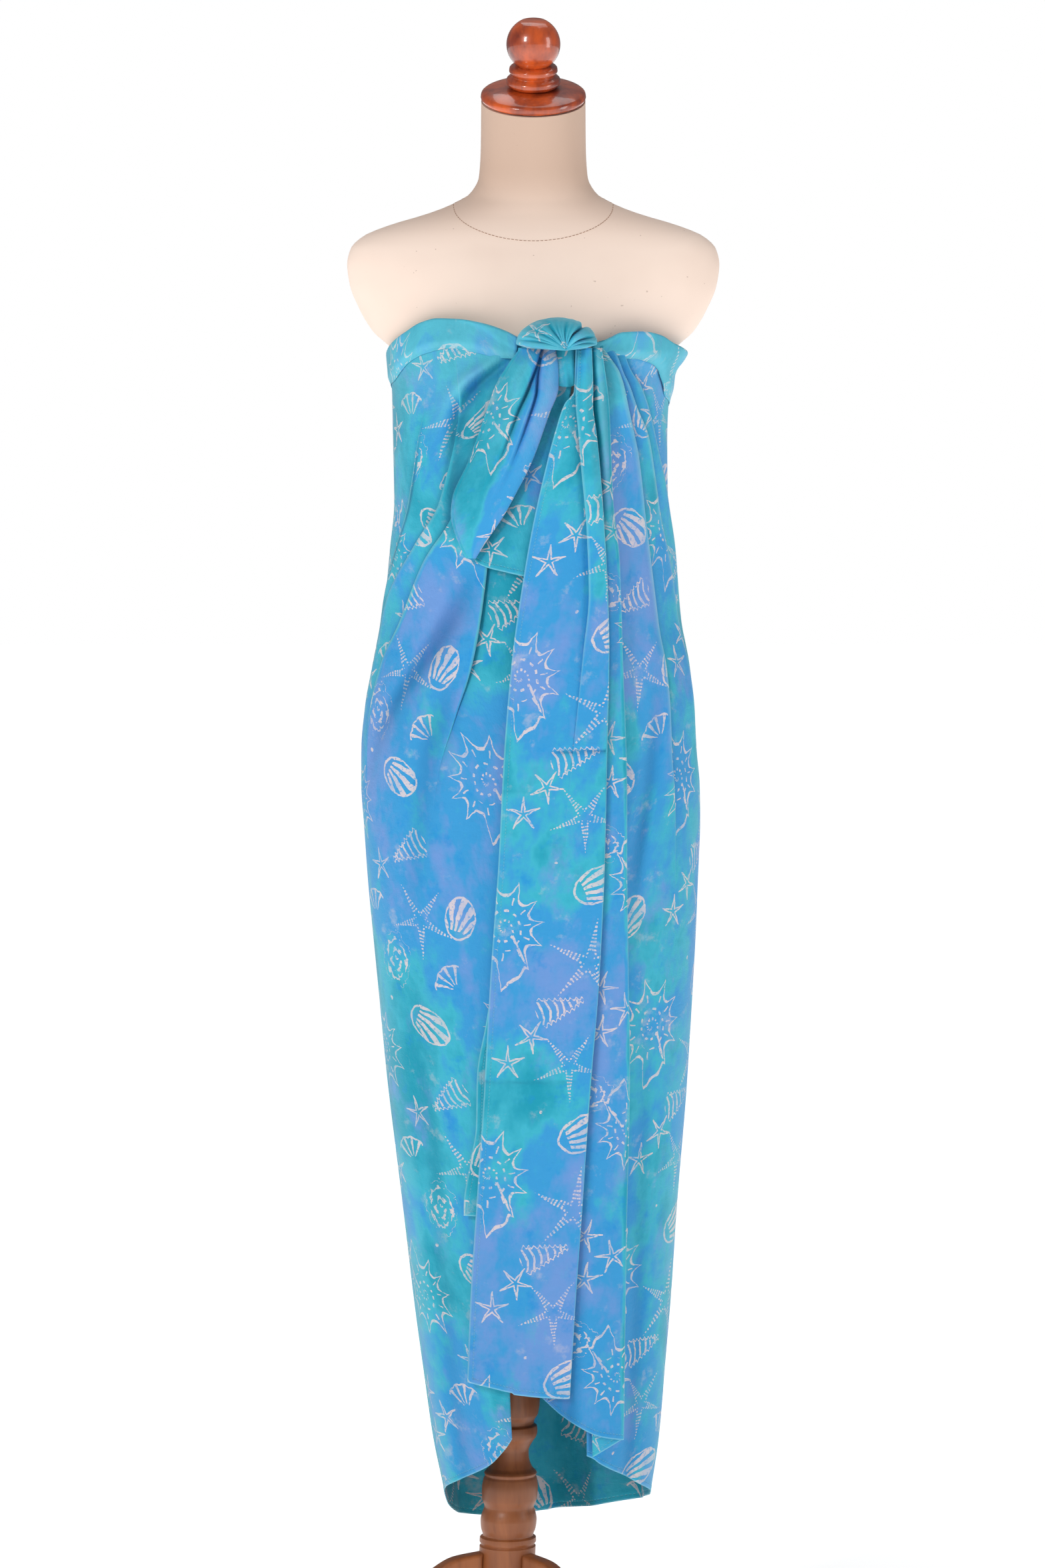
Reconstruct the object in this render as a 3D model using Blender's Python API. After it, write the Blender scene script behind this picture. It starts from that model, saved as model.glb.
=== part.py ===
"""Batik sarong tied over the bust of a limbless dress form, on a turned tripod stand.

Metres, +Z up, front at -Y. The cloth is one rectangle, 1.80 m by 1.15 m, wrapped from the back to the front, with its
two upper corners knotted. Each stretch of it that shows is a wall of its own. Heights are above the floor. Angles go
round the body in degrees, 0 at centre front and rising towards the viewer's right. "out" is how far the middle of a
wall stands outside the body of the wrap.
"""

import math
from bisect import bisect_right
from collections import namedtuple

import bmesh
import bpy
from mathutils import Matrix, Vector

# Driving sizes of the cloth
WALL = 0.0012
END_TOP = 1.3485
KNOT_BOTTOM = END_TOP + 0.0006
STEP_TURN = 1.0
SEAM_TURN = 100.0
SEAM_GAP_TURN = 0.14
BAND_OUT = 0.0034
WRAP_ROWS = 24
ROW_CROWDING = 1.25
HEM_LEVEL = 0.24
TOP_LEVEL = 1.36
BAND_BELOW_TOP = 0.0005

# Driving sizes of the form and its stand
FORM_PLACE = (0.04503, -0.03414, 0.0)
CAP_TILT = math.radians(21.0)
LEAN = math.tan(math.radians(2.27))
LEAN_FROM = 0.80
FIT_GAP = 0.0003
PLATE_TOP = 0.80 - FIT_GAP
PLATE_THICK = 0.012
COLUMN_TOP = PLATE_TOP - PLATE_THICK - FIT_GAP
COLUMN_BOTTOM = 0.060
LEG_THICK = 0.019
LEG_TURNS = (197.0, 317.0, 77.0)
BASE_RADIUS = 0.0282

Girth = namedtuple("Girth", "z left right front back")
GIRTH = [
    Girth(0.150, -0.0790, 0.1100, 0.090, 0.080),
    Girth(0.207, -0.0881, 0.1171, 0.096, 0.085),
    Girth(0.267, -0.1001, 0.1257, 0.100, 0.088),
    Girth(0.338, -0.1100, 0.1315, 0.106, 0.092),
    Girth(0.410, -0.1199, 0.1374, 0.110, 0.095),
    Girth(0.489, -0.1291, 0.1425, 0.114, 0.098),
    Girth(0.623, -0.1448, 0.1529, 0.120, 0.103),
    Girth(0.764, -0.1578, 0.1612, 0.125, 0.109),
    Girth(0.827, -0.1637, 0.1637, 0.127, 0.111),
    Girth(0.882, -0.1675, 0.1655, 0.128, 0.112),
    Girth(0.921, -0.1701, 0.1648, 0.128, 0.112),
    Girth(0.952, -0.1700, 0.1620, 0.128, 0.110),
    Girth(0.999, -0.1653, 0.1593, 0.127, 0.106),
    Girth(1.038, -0.1573, 0.1539, 0.127, 0.102),
    Girth(1.085, -0.1479, 0.1432, 0.128, 0.098),
    Girth(1.155, -0.1412, 0.1359, 0.129, 0.097),
    Girth(1.201, -0.1371, 0.1324, 0.131, 0.097),
    Girth(1.263, -0.1384, 0.1317, 0.130, 0.098),
    Girth(1.324, -0.1396, 0.1355, 0.122, 0.100),
    Girth(1.351, -0.1416, 0.1487, 0.116, 0.101),
    Girth(1.385, -0.1430, 0.1550, 0.108, 0.101),
]

# Height of the wrap's top edge and hem round the body
Edge = namedtuple("Edge", "turn top hem")
EDGE = [
    Edge(-180.0, 1.315, 0.172),
    Edge(-135.0, 1.325, 0.172),
    Edge(-100.0, 1.341, 0.196),
    Edge(-90.0, 1.346, 0.207),
    Edge(-60.0, 1.368, 0.229),
    Edge(-50.0, 1.377, 0.236),
    Edge(-41.0, 1.381, 0.243),
    Edge(-30.0, 1.380, 0.254),
    Edge(-21.0, 1.376, 0.271),
    Edge(-12.6, 1.369, 0.292),
    Edge(-7.0, 1.362, 0.296),
    Edge(0.0, 1.354, 0.298),
    Edge(17.0, 1.352, 0.268),
    Edge(24.5, 1.355, 0.261),
    Edge(27.8, 1.362, 0.256),
    Edge(33.2, 1.3675, 0.250),
    Edge(42.3, 1.3683, 0.242),
    Edge(52.7, 1.365, 0.233),
    Edge(64.0, 1.3565, 0.224),
    Edge(90.0, 1.347, 0.207),
    Edge(100.0, 1.343, 0.203),
    Edge(133.0, 1.326, 0.188),
    Edge(180.0, 1.315, 0.172),
]

# A fold is a line down the cloth, with how far it lifts the cloth at each height, and how far to either side of the
# line its lift reaches. A short reach is a sharp folded edge.
Fold = namedtuple("Fold", "rows left_deg right_deg")
At = namedtuple("At", "z turn lift")
SHARP = 0.5

LEFT_DRAGS = [
    Fold([At(0.15, -92, 0), At(0.90, -92, 0), At(1.085, -87, 0.0015), At(1.146, -71, 0.0030), At(1.20, -60, 0.0035),
          At(1.30, -48, 0.0020), At(1.37, -50, 0)], SHARP, 9.0),
    Fold([At(0.15, -84, 0), At(0.95, -83, 0), At(1.085, -78, 0.0030), At(1.159, -53.5, 0.0035),
          At(1.206, -39, 0.0035), At(1.30, -30, 0.0010), At(1.37, -34, 0)], SHARP, 8.0),
    Fold([At(0.15, -77, 0), At(0.93, -76, 0), At(1.038, -70, 0.0030), At(1.0895, -58.5, 0.0035),
          At(1.143, -47, 0.0035), At(1.188, -33.5, 0.0030), At(1.30, -20, 0.0010), At(1.37, -22, 0)], SHARP, 9.0),
    Fold([At(0.15, -42, 0), At(0.75, -40, 0), At(0.85, -37, 0.0012), At(0.933, -33, 0.0030),
          At(1.022, -25, 0.0042), At(1.136, -19, 0.0036), At(1.25, -14, 0.0010), At(1.37, -13, 0)], 12.0, SHARP),
]
LEFT_SOFT = [
    Fold([At(1.12, -34, 0), At(1.22, -33, -0.0020), At(1.27, -32, -0.0036), At(1.31, -24, -0.0042),
          At(1.345, -9, -0.0015), At(1.36, -6, 0)], 4.5, 4.5),
    Fold([At(1.26, -42, 0), At(1.295, -37, 0.0012), At(1.322, -27, 0.0024), At(1.345, -13, 0.0010),
          At(1.36, -10, 0)], 5.0, 5.0),
    Fold([At(0.93, -70, 0), At(1.01, -55, -0.0022), At(1.07, -38, -0.0034), At(1.115, -26, -0.0022),
          At(1.16, -21, 0)], 5.5, 5.5),
    Fold([At(0.20, -63, 0.0022), At(0.50, -66, 0.0020), At(0.80, -72, 0.0010), At(0.95, -74, 0)], 9.0, 9.0),
    Fold([At(0.20, -50, -0.0020), At(0.55, -48, -0.0016), At(0.90, -44, 0)], 8.0, 8.0),
]
RIGHT_PLEATS = [
    Fold([At(0.15, 60, 0), At(0.80, 58, 0), At(0.90, 56.5, 0.0014), At(0.983, 55.5, 0.0035), At(1.084, 56, 0.0042),
          At(1.158, 54, 0.0042), At(1.244, 48.7, 0.0040), At(1.31, 41, 0.0030), At(1.355, 30, 0)], 9.0, SHARP),
    Fold([At(0.15, 82, 0), At(0.86, 80, 0), At(1.022, 78, 0.0030), At(1.12, 75, 0.0036), At(1.1825, 66.2, 0.0040),
          At(1.26, 55.2, 0.0036), At(1.318, 44, 0.0024), At(1.355, 33, 0)], 8.0, SHARP),
    Fold([At(0.15, 92, 0), At(1.00, 91, 0), At(1.146, 87, 0.0028), At(1.232, 72.4, 0.0036), At(1.281, 59, 0.0032),
          At(1.33, 48, 0.0016), At(1.355, 37, 0)], 8.0, SHARP),
]
RIGHT_SOFT = [
    Fold([At(0.80, 34, 0), At(0.85, 37, -0.0018), At(0.895, 41, -0.0026), At(0.955, 47, -0.0026),
          At(1.02, 51, -0.0012), At(1.06, 52, 0)], 4.0, 4.0),
    Fold([At(0.20, 48, -0.0024), At(0.50, 46, -0.0020), At(0.78, 42, 0)], 6.0, 6.0),
    Fold([At(0.20, 70, 0.0020), At(0.50, 70, 0.0018), At(0.85, 72, 0)], 9.0, 9.0),
]
BACK_SOFT = [
    Fold([At(0.18, 124, 0.0040), At(0.60, 122, 0.0030), At(0.86, 118, 0)], 9.0, 9.0),
    Fold([At(0.18, 148, -0.0040), At(0.60, 150, -0.0030), At(0.88, 152, 0)], 10.0, 10.0),
    Fold([At(0.18, 176, 0.0036), At(0.55, 178, 0.0028), At(0.84, 180, 0)], 9.0, 9.0),
    Fold([At(0.18, 205, -0.0042), At(0.62, 206, -0.0030), At(0.90, 208, 0)], 10.0, 10.0),
    Fold([At(0.18, 232, 0.0040), At(0.60, 236, 0.0028), At(0.86, 240, 0)], 9.0, 9.0),
    Fold([At(1.02, 150, 0), At(1.10, 165, 0.0022), At(1.16, 185, 0.0022), At(1.22, 205, 0)], 12.0, 12.0),
]

# The folded-over band along the top edge: height of its lower edge round the body
Band = namedtuple("Band", "turn low")
BAND = [
    Band(-180.0, 1.262), Band(-120.0, 1.272), Band(-90.0, 1.288), Band(-73.3, 1.303), Band(-66.8, 1.3250),
    Band(-58.3, 1.338), Band(-47.0, 1.3475), Band(-35.0, 1.352), Band(-23.2, 1.3475), Band(-14.2, 1.3430),
    Band(-8.0, 1.3420), Band(26.5, 1.3420), Band(40.8, 1.341), Band(52.0, 1.335), Band(60.0, 1.324),
    Band(66.0, 1.306), Band(74.0, 1.289), Band(90.0, 1.283), Band(120.0, 1.272), Band(180.0, 1.262),
]

# Hidden inner edges of the wrap, in degrees by height
Inner = namedtuple("Inner", "z left right")
INNER = [
    Inner(0.15, -17.5, 22.5), Inner(0.33, -16.5, 20.0), Inner(0.50, -8.0, 19.0), Inner(0.70, 0.0, 18.0),
    Inner(0.90, 4.0, 17.0), Inner(1.10, 8.0, 18.0), Inner(1.30, 9.0, 20.0), Inner(1.355, 9.5, 26.0),
]

# Long front panel: its two edges, its pleat line, and how far out it lies
Panel = namedtuple("Panel", "z left pleat right left_out right_out pleat_lift")
PANEL = [
    Panel(0.326, -0.0653, -0.0200, 0.0354, 0.0090, 0.0142, 0),
    Panel(0.4275, -0.0613, -0.0140, 0.0414, 0.0090, 0.0142, 0),
    Panel(0.5095, -0.0560, -0.0060, 0.0471, 0.0092, 0.0142, 0),
    Panel(0.617, -0.0488, 0.0040, 0.0541, 0.0094, 0.0142, 0),
    Panel(0.745, -0.0416, 0.0160, 0.0640, 0.0095, 0.0142, 0),
    Panel(0.856, -0.0338, 0.0270, 0.0690, 0.0095, 0.0142, 0),
    Panel(0.9675, -0.0280, 0.0390, 0.0713, 0.0100, 0.0142, 0.0006),
    Panel(1.059, -0.0200, 0.0490, 0.0731, 0.0120, 0.0142, 0.0018),
    Panel(1.117, -0.0119, 0.0550, 0.0717, 0.0135, 0.0142, 0.0026),
    Panel(1.174, -0.0023, 0.0532, 0.0685, 0.0138, 0.0142, 0.0030),
    Panel(1.241, 0.0125, 0.0475, 0.0636, 0.0138, 0.0145, 0.0032),
    Panel(1.270, 0.0202, 0.0452, 0.0605, 0.0138, 0.0150, 0.0032),
    Panel(1.2987, 0.0298, 0.0424, 0.0570, 0.0142, 0.0160, 0.0030),
    Panel(1.311, 0.0390, 0.0420, 0.0572, 0.0160, 0.0175, 0.0024),
    Panel(1.350, 0.0404, 0.0434, 0.0560, 0.0210, 0.0225, 0.0010),
]
Hem = namedtuple("Hem", "x z")
PANEL_HEM = [
    Hem(-0.0653, 0.338), Hem(-0.0431, 0.3345), Hem(-0.0197, 0.3305), Hem(0.0155, 0.327), Hem(0.0354, 0.326),
]
PANEL_TURN = 0.0012
PANEL_UNDER = 0.009
PLEAT_FROM_LEFT = 0.003
PLEAT_FROM_RIGHT = 0.006
PLEAT_STEP = 0.002

# Strip behind the panel, folded back under itself at its right edge
Strip = namedtuple("Strip", "z left right back out")
STRIP = [
    Strip(0.262, 0.0080, 0.0889, 0.0585, 0.0094),
    Strip(0.357, 0.0080, 0.0898, 0.0560, 0.0094),
    Strip(0.475, 0.0150, 0.0911, 0.0540, 0.0094),
    Strip(0.652, 0.0250, 0.0941, 0.0540, 0.0094),
    Strip(0.745, 0.0310, 0.0925, 0.0540, 0.0094),
    Strip(0.852, 0.0350, 0.0909, 0.0560, 0.0094),
    Strip(0.921, 0.0370, 0.0908, 0.0570, 0.0094),
    Strip(1.0475, 0.0390, 0.0867, 0.0570, 0.0094),
    Strip(1.146, 0.0400, 0.0833, 0.0560, 0.0094),
    Strip(1.207, 0.0400, 0.0768, 0.0540, 0.0094),
    Strip(1.298, 0.0430, 0.0728, 0.0520, 0.0106),
    Strip(1.350, 0.0480, 0.0660, 0.0540, 0.0165),
]
STRIP_HEM = [
    Hem(0.0080, 0.3270), Hem(0.0259, 0.3100), Hem(0.0442, 0.2967), Hem(0.0658, 0.2850), Hem(0.0889, 0.2790),
]
STRIP_BACK_HEM = 0.2640
STRIP_TURN = 0.0015

# Narrow strip that hangs behind the panel's left edge
Tail = namedtuple("Tail", "z left right")
TAIL = [
    Tail(0.505, -0.0680, -0.0230), Tail(0.515, -0.0680, -0.0200), Tail(0.561, -0.0610, -0.0140),
    Tail(0.595, -0.0560, -0.0110), Tail(0.644, -0.0550, -0.0080), Tail(0.700, -0.0456, 0.0000),
    Tail(0.780, -0.0340, 0.0100), Tail(1.000, -0.0130, 0.0200), Tail(1.110, -0.0020, 0.0240),
    Tail(1.250, 0.0020, 0.0240), Tail(1.350, 0.0040, 0.0220),
]
TAIL_OUT = 0.0064

# Tied corner at the left of the knot: flat rear layer, then the folded front layer
TIE_BACK = [
    Tail(1.129, -0.0620, 0.0120), Tail(1.160, -0.0720, 0.0140), Tail(1.187, -0.0765, 0.0170),
    Tail(1.205, -0.0735, 0.0190), Tail(1.245, -0.0560, 0.0240), Tail(1.288, -0.0400, 0.0320),
    Tail(1.318, -0.0240, 0.0370), Tail(1.350, -0.0080, 0.0390),
]
TIE_BACK_HEM = [
    Hem(-0.0765, 1.180), Hem(-0.0720, 1.163), Hem(-0.0580, 1.143), Hem(-0.0350, 1.137), Hem(-0.0093, 1.132),
    Hem(0.0120, 1.129),
]
TIE_BACK_OUT = 0.0098
Roll = namedtuple("Roll", "z left right bulge crease")
TIE_ROLL = [
    Roll(1.150, -0.0650, -0.0560, 0.0010, 0),
    Roll(1.163, -0.0715, -0.0480, 0.0025, 0),
    Roll(1.192, -0.0796, -0.0285, 0.0045, 0),
    Roll(1.2065, -0.0783, -0.0205, 0.0050, 0.0004),
    Roll(1.245, -0.0617, -0.0010, 0.0062, 0.0020),
    Roll(1.288, -0.0464, 0.0145, 0.0078, 0.0045),
    Roll(1.315, -0.0368, 0.0238, 0.0086, 0.0058),
    Roll(1.337, -0.0240, 0.0240, 0.0080, 0.0060),
    Roll(1.350, -0.0144, 0.0225, 0.0070, 0.0050),
]
ROLL_BACK_OUT = 0.0118
ROLL_TURN = 0.0026
ROLL_CREASE_AT = 0.50
ROLL_CREASE_WIDTH = 0.10
ROLL_FULLNESS = 0.7
ROLL_UNDER_SHARE = 0.55

# Knot: a solid lump of cloth, and the band below it that the ends come through
KNOT_CENTRE = (0.0235, -0.1396)
KNOT_HALF = (0.0405, 0.0235)
KNOT_RISE = 0.0318
KNOT_FLAT = 0.35
KNOT_EDGE = 0.0020
KNOT_RIGHT_DROP = 0.26
KNOT_PINCH_X = 0.029
KNOT_FOLDS = 6
KNOT_FOLD = 0.0018
LOOP_X = (0.0266, 0.0356)
LOOP_Z = (1.3130, 1.3485)
LOOP_OUT = 0.0135
LOOP_BULGE = 0.0070
LOOP_FALL = (0.14, 0.62)

# Dress form: half width, depth to front and back, how full the front is, and the neck's lean
Body = namedtuple("Body", "z half front back narrow shift tilt")
BODY = [
    Body(0.800, 0.1480, 0.106, 0.094, 1.0, 0, 0),
    Body(0.830, 0.1560, 0.110, 0.098, 1.0, 0, 0),
    Body(0.870, 0.1615, 0.112, 0.100, 1.0, 0, 0),
    Body(0.905, 0.1636, 0.111, 0.100, 1.0, 0, 0),
    Body(0.930, 0.1620, 0.110, 0.100, 1.0, 0, 0),
    Body(0.980, 0.1515, 0.105, 0.094, 1.0, 0, 0),
    Body(1.040, 0.1360, 0.100, 0.086, 1.0, 0, 0),
    Body(1.100, 0.1250, 0.098, 0.082, 1.0, 0, 0),
    Body(1.160, 0.1240, 0.104, 0.084, 1.0, 0, 0),
    Body(1.210, 0.1270, 0.112, 0.086, 1.05, 0, 0),
    Body(1.262, 0.1285, 0.112, 0.088, 1.15, 0, 0),
    Body(1.300, 0.1300, 0.106, 0.090, 1.30, 0, 0),
    Body(1.328, 0.1330, 0.100, 0.090, 1.45, 0, 0),
    Body(1.346, 0.1365, 0.096, 0.090, 1.60, 0, 0),
    Body(1.354, 0.1420, 0.094, 0.090, 1.60, 0, 0),
    Body(1.368, 0.1575, 0.091, 0.089, 1.60, 0, 0),
    Body(1.390, 0.1710, 0.086, 0.087, 1.50, 0, 0),
    Body(1.415, 0.1810, 0.079, 0.083, 1.35, 0, 0),
    Body(1.435, 0.1835, 0.072, 0.077, 1.25, 0, 0),
    Body(1.450, 0.1800, 0.065, 0.071, 1.15, 0, 0),
    Body(1.462, 0.1680, 0.060, 0.066, 1.10, 0, 0),
    Body(1.473, 0.1420, 0.057, 0.062, 1.05, 0.001, 1),
    Body(1.484, 0.1050, 0.054, 0.059, 1.0, 0.001, 3),
    Body(1.493, 0.0810, 0.052, 0.057, 1.0, 0.000, 5),
    Body(1.504, 0.0620, 0.050, 0.054, 1.0, -0.002, 8),
    Body(1.520, 0.0535, 0.0500, 0.0520, 1.0, -0.006, 12),
    Body(1.548, 0.0516, 0.0505, 0.0510, 1.0, -0.013, 17),
    Body(1.5935, 0.0510, 0.0510, 0.0510, 1.0, -0.029, 21),
]
BODY_SIDES = 36

# Turned pieces: radius by height along their own axis
Turn = namedtuple("Turn", "z r")
NECK_CAP = [
    Turn(0.0000, 0.0), Turn(0.0000, 0.0460), Turn(0.0010, 0.0500), Turn(0.0040, 0.0515), Turn(0.0070, 0.0510),
    Turn(0.0090, 0.0490), Turn(0.0115, 0.0420), Turn(0.0135, 0.0300), Turn(0.0140, 0.0200), Turn(0.0140, 0.0),
]
FINIAL = [
    Turn(0.0143, 0.0), Turn(0.0143, 0.0215), Turn(0.0160, 0.0245), Turn(0.0190, 0.0265), Turn(0.0220, 0.0262),
    Turn(0.0248, 0.0232), Turn(0.0262, 0.0212), Turn(0.0280, 0.0224), Turn(0.0305, 0.0237), Turn(0.0335, 0.0233),
    Turn(0.0358, 0.0200), Turn(0.0372, 0.0165),
]
BALL_RADIUS = 0.0263
BALL_CENTRE = 0.0573
BALL_FACET = 0.0127
BALL_RINGS = 9
COLUMN = [
    Turn(COLUMN_TOP, 0.0), Turn(COLUMN_TOP, 0.0230), Turn(0.700, 0.0230), Turn(0.690, 0.0270), Turn(0.680, 0.0230),
    Turn(0.560, 0.0205), Turn(0.440, 0.0215), Turn(0.425, 0.0265), Turn(0.410, 0.0215), Turn(0.355, 0.0225),
    Turn(0.320, 0.0258), Turn(0.300, 0.0265), Turn(0.289, 0.0252), Turn(0.2815, 0.0216), Turn(0.2790, 0.0216),
    Turn(0.2770, 0.0246), Turn(0.2710, 0.0253), Turn(0.2660, 0.0243), Turn(0.2620, 0.0216), Turn(0.2515, 0.0173),
    Turn(0.2440, 0.0180), Turn(0.2350, 0.0215), Turn(0.2290, 0.0264), Turn(0.2265, 0.0254), Turn(0.2240, 0.0266),
    Turn(0.2140, 0.0281), Turn(0.2030, 0.0275), Turn(0.1950, 0.0249), Turn(0.1880, 0.0270), Turn(0.1820, 0.0282),
    Turn(0.1730, 0.0274), Turn(0.1660, 0.0252), Turn(0.1640, 0.0281), Turn(0.1600, 0.0284), Turn(0.1565, 0.0266),
    Turn(0.1550, BASE_RADIUS), Turn(0.0720, BASE_RADIUS), Turn(0.0640, 0.0262), Turn(COLUMN_BOTTOM, 0.0200),
    Turn(COLUMN_BOTTOM, 0.0),
]
PLATE = [
    Turn(PLATE_TOP - PLATE_THICK, 0.0), Turn(PLATE_TOP - PLATE_THICK, 0.0880), Turn(PLATE_TOP, 0.0920),
    Turn(PLATE_TOP, 0.0),
]
COLUMN_SIDES = 24
CAP_SIDES = 28

# Side outline of one leg: distance from the column's axis and height
Leg = namedtuple("Leg", "r top under")
LEG = [
    Leg(0.0287, 0.150, 0.074), Leg(0.0550, 0.146, 0.078), Leg(0.0850, 0.129, 0.070), Leg(0.1200, 0.095, 0.048),
    Leg(0.1500, 0.069, 0.026), Leg(0.1800, 0.046, 0.009), Leg(0.2050, 0.032, 0.000), Leg(0.2300, 0.024, 0.000),
    Leg(0.2500, 0.016, 0.000),
]
LEG_EDGE = 0.003
SOLE_TOP = 0.010


def slope(xs, ys, k):
    """Slope at one row of a table, levelled off at its peaks so that a curve never overshoots."""
    if k == 0 or k == len(xs) - 1:
        near = max(k, 1)
        return (ys[near] - ys[near - 1]) / (xs[near] - xs[near - 1])
    before = (ys[k] - ys[k - 1]) / (xs[k] - xs[k - 1])
    after = (ys[k + 1] - ys[k]) / (xs[k + 1] - xs[k])
    return 0.0 if before * after <= 0 else 2 * before * after / (before + after)


def read(rows, name, at):
    """One named column of a table, as a smooth curve over the table's first column."""
    xs = [row[0] for row in rows]
    ys = [getattr(row, name) for row in rows]
    at = min(max(at, xs[0]), xs[-1])
    k = min(max(bisect_right(xs, at) - 1, 0), len(xs) - 2)
    width = xs[k + 1] - xs[k]
    t = (at - xs[k]) / width
    rise = t * t * (3 - 2 * t)
    return (
        ys[k] * (1 - rise)
        + ys[k + 1] * rise
        + slope(xs, ys, k) * width * t * (1 - t) ** 2
        - slope(xs, ys, k + 1) * width * t * t * (1 - t)
    )


def mix(a, b, share):
    return a + (b - a) * share


def body_size(z):
    """Middle, half width, front depth and back depth of the wrap at one height."""
    left, right = read(GIRTH, "left", z), read(GIRTH, "right", z)
    return (left + right) / 2, (right - left) / 2, read(GIRTH, "front", z), read(GIRTH, "back", z)


def round_body(turn, z, out=0.0):
    """Point on the wrap at an angle and a height."""
    middle, half, front, back = body_size(z)
    side, ahead = math.sin(math.radians(turn)), math.cos(math.radians(turn))
    depth = front if ahead > 0 else back
    return Vector((middle + (half + out) * side, -(depth + out) * ahead, z))


def over_front(x, z, out):
    """Point in front of the wrap, straight ahead of a place across it."""
    middle, half, front, back = body_size(z)
    side = min(max((x - middle) / (half + out), -1.0), 1.0)
    return Vector((x, -(front + out) * math.sqrt(1 - side * side), z))


def lift(folds, turn, z):
    """How far the folds raise the cloth at one place."""
    total = 0.0
    for fold in folds:
        if fold.rows[0].z <= z <= fold.rows[-1].z:
            away = turn - read(fold.rows, "turn", z)
            reach = fold.left_deg if away < 0 else fold.right_deg
            total += read(fold.rows, "lift", z) * math.exp(-((away / reach) ** 2))
    return total


def sharp_lines(folds):
    """Two lines for each sharp fold, just off its edge and on it, from left to right."""
    lines = []
    for fold in folds:
        ahead = -STEP_TURN if fold.left_deg == SHARP else STEP_TURN
        pair = [lambda z, f=fold, a=ahead: read(f.rows, "turn", z) + a, lambda z, f=fold: read(f.rows, "turn", z)]
        lines += pair if ahead < 0 else pair[::-1]
    return lines


def spread(lines, columns, share, z):
    """Angle of a column of the cloth that keeps its place between the lines."""
    place = share * sum(columns)
    for k, count in enumerate(columns):
        if place <= count + 1e-6:
            return mix(lines[k](z), lines[k + 1](z), place / count)
        place -= count
    return lines[-1](z)


def material(name, color, roughness):
    """One Principled material."""
    made = bpy.data.materials.new(name)
    made.use_nodes = True
    shader = made.node_tree.nodes["Principled BSDF"]
    shader.inputs["Base Color"].default_value = (*color, 1.0)
    shader.inputs["Roughness"].default_value = roughness
    shader.inputs["Metallic"].default_value = 0.0
    return made


def finish(name, bm, look, sharp_angle=None):
    """An object from a bmesh, in the form's own place."""
    mesh = bpy.data.meshes.new(name)
    bm.to_mesh(mesh)
    bm.free()
    mesh.materials.append(look)
    if sharp_angle is not None:
        mesh.shade_smooth()
        mesh.set_sharp_from_angle(angle=math.radians(sharp_angle))
    made = bpy.data.objects.new(name, mesh)
    made.location = FORM_PLACE
    bpy.context.scene.collection.objects.link(made)
    return made


def cloth(name, columns, rows, point, look):
    """A wall of cloth: a grid laid over point(across, up), both from 0 to 1, and given its thickness."""
    bm = bmesh.new()
    bmesh.ops.create_grid(bm, x_segments=columns, y_segments=rows, size=0.5)
    for vert in bm.verts:
        vert.co = point(vert.co.x + 0.5, vert.co.y + 0.5)
    made = finish(name, bm, look, 60)
    wall = made.modifiers.new("wall", "SOLIDIFY")
    wall.thickness = WALL
    wall.offset = 0.0
    wall.use_even_offset = True
    return made


def wrap_point(lines, columns, folds):
    """Point function of a stretch of the wrap between its top edge and its hem."""
    def point(across, up):
        hem = read(EDGE, "hem", spread(lines, columns, across, HEM_LEVEL))
        top = read(EDGE, "top", spread(lines, columns, across, TOP_LEVEL))
        z = mix(hem, top, 1 - (1 - up) ** ROW_CROWDING)
        turn = spread(lines, columns, across, z)
        return round_body(turn, z, lift(folds, turn, z))
    return point


def make_wrap(look):
    """Left front, right front and back."""
    seam = SEAM_TURN - SEAM_GAP_TURN
    lines = [lambda z: -seam, *sharp_lines(LEFT_DRAGS), lambda z: read(INNER, "left", z)]
    columns = [4, 1, 2, 1, 2, 1, 5, 1, 4]
    cloth("left_front", sum(columns), WRAP_ROWS, wrap_point(lines, columns, LEFT_DRAGS + LEFT_SOFT), look)
    lines = [lambda z: read(INNER, "right", z), *sharp_lines(RIGHT_PLEATS), lambda z: seam]
    columns = [5, 1, 2, 1, 2, 1, 5]
    cloth("right_front", sum(columns), WRAP_ROWS, wrap_point(lines, columns, RIGHT_PLEATS + RIGHT_SOFT), look)

    def back_point(across, up):
        turn = mix(SEAM_TURN, 360 - SEAM_TURN, across)
        around = turn if turn <= 180 else turn - 360
        z = mix(read(EDGE, "hem", around), read(EDGE, "top", around), 1 - (1 - up) ** ROW_CROWDING)
        return round_body(turn, z, lift(BACK_SOFT, turn, z))
    cloth("back", 22, WRAP_ROWS, back_point, look)


def make_band(name, start, end, columns, look):
    """One stretch of the folded-over band along the top edge."""
    def point(across, up):
        turn = mix(start, end, across)
        around = turn if turn <= 180 else turn - 360
        z = mix(read(BAND, "low", around), read(EDGE, "top", around) - BAND_BELOW_TOP, up)
        return round_body(turn, z, BAND_OUT)
    cloth(name, columns, 3, point, look)


def folded_edge(x, z, out, turn, side, over, turn_share, share):
    """Point on a folded edge at x whose outer layer lies at out, turning back under itself by "over".

    share runs from 0 on the outer layer, through the turn up to turn_share, to 1 at the end of the layer under it.
    """
    if share <= turn_share:
        angle = math.pi * share / turn_share
        return over_front(x + side * turn * (math.sin(angle) - 1), z, out - turn + turn * math.cos(angle))
    return over_front(x - side * mix(turn, over, (share - turn_share) / (1 - turn_share)), z, out - 2 * turn)


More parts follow.
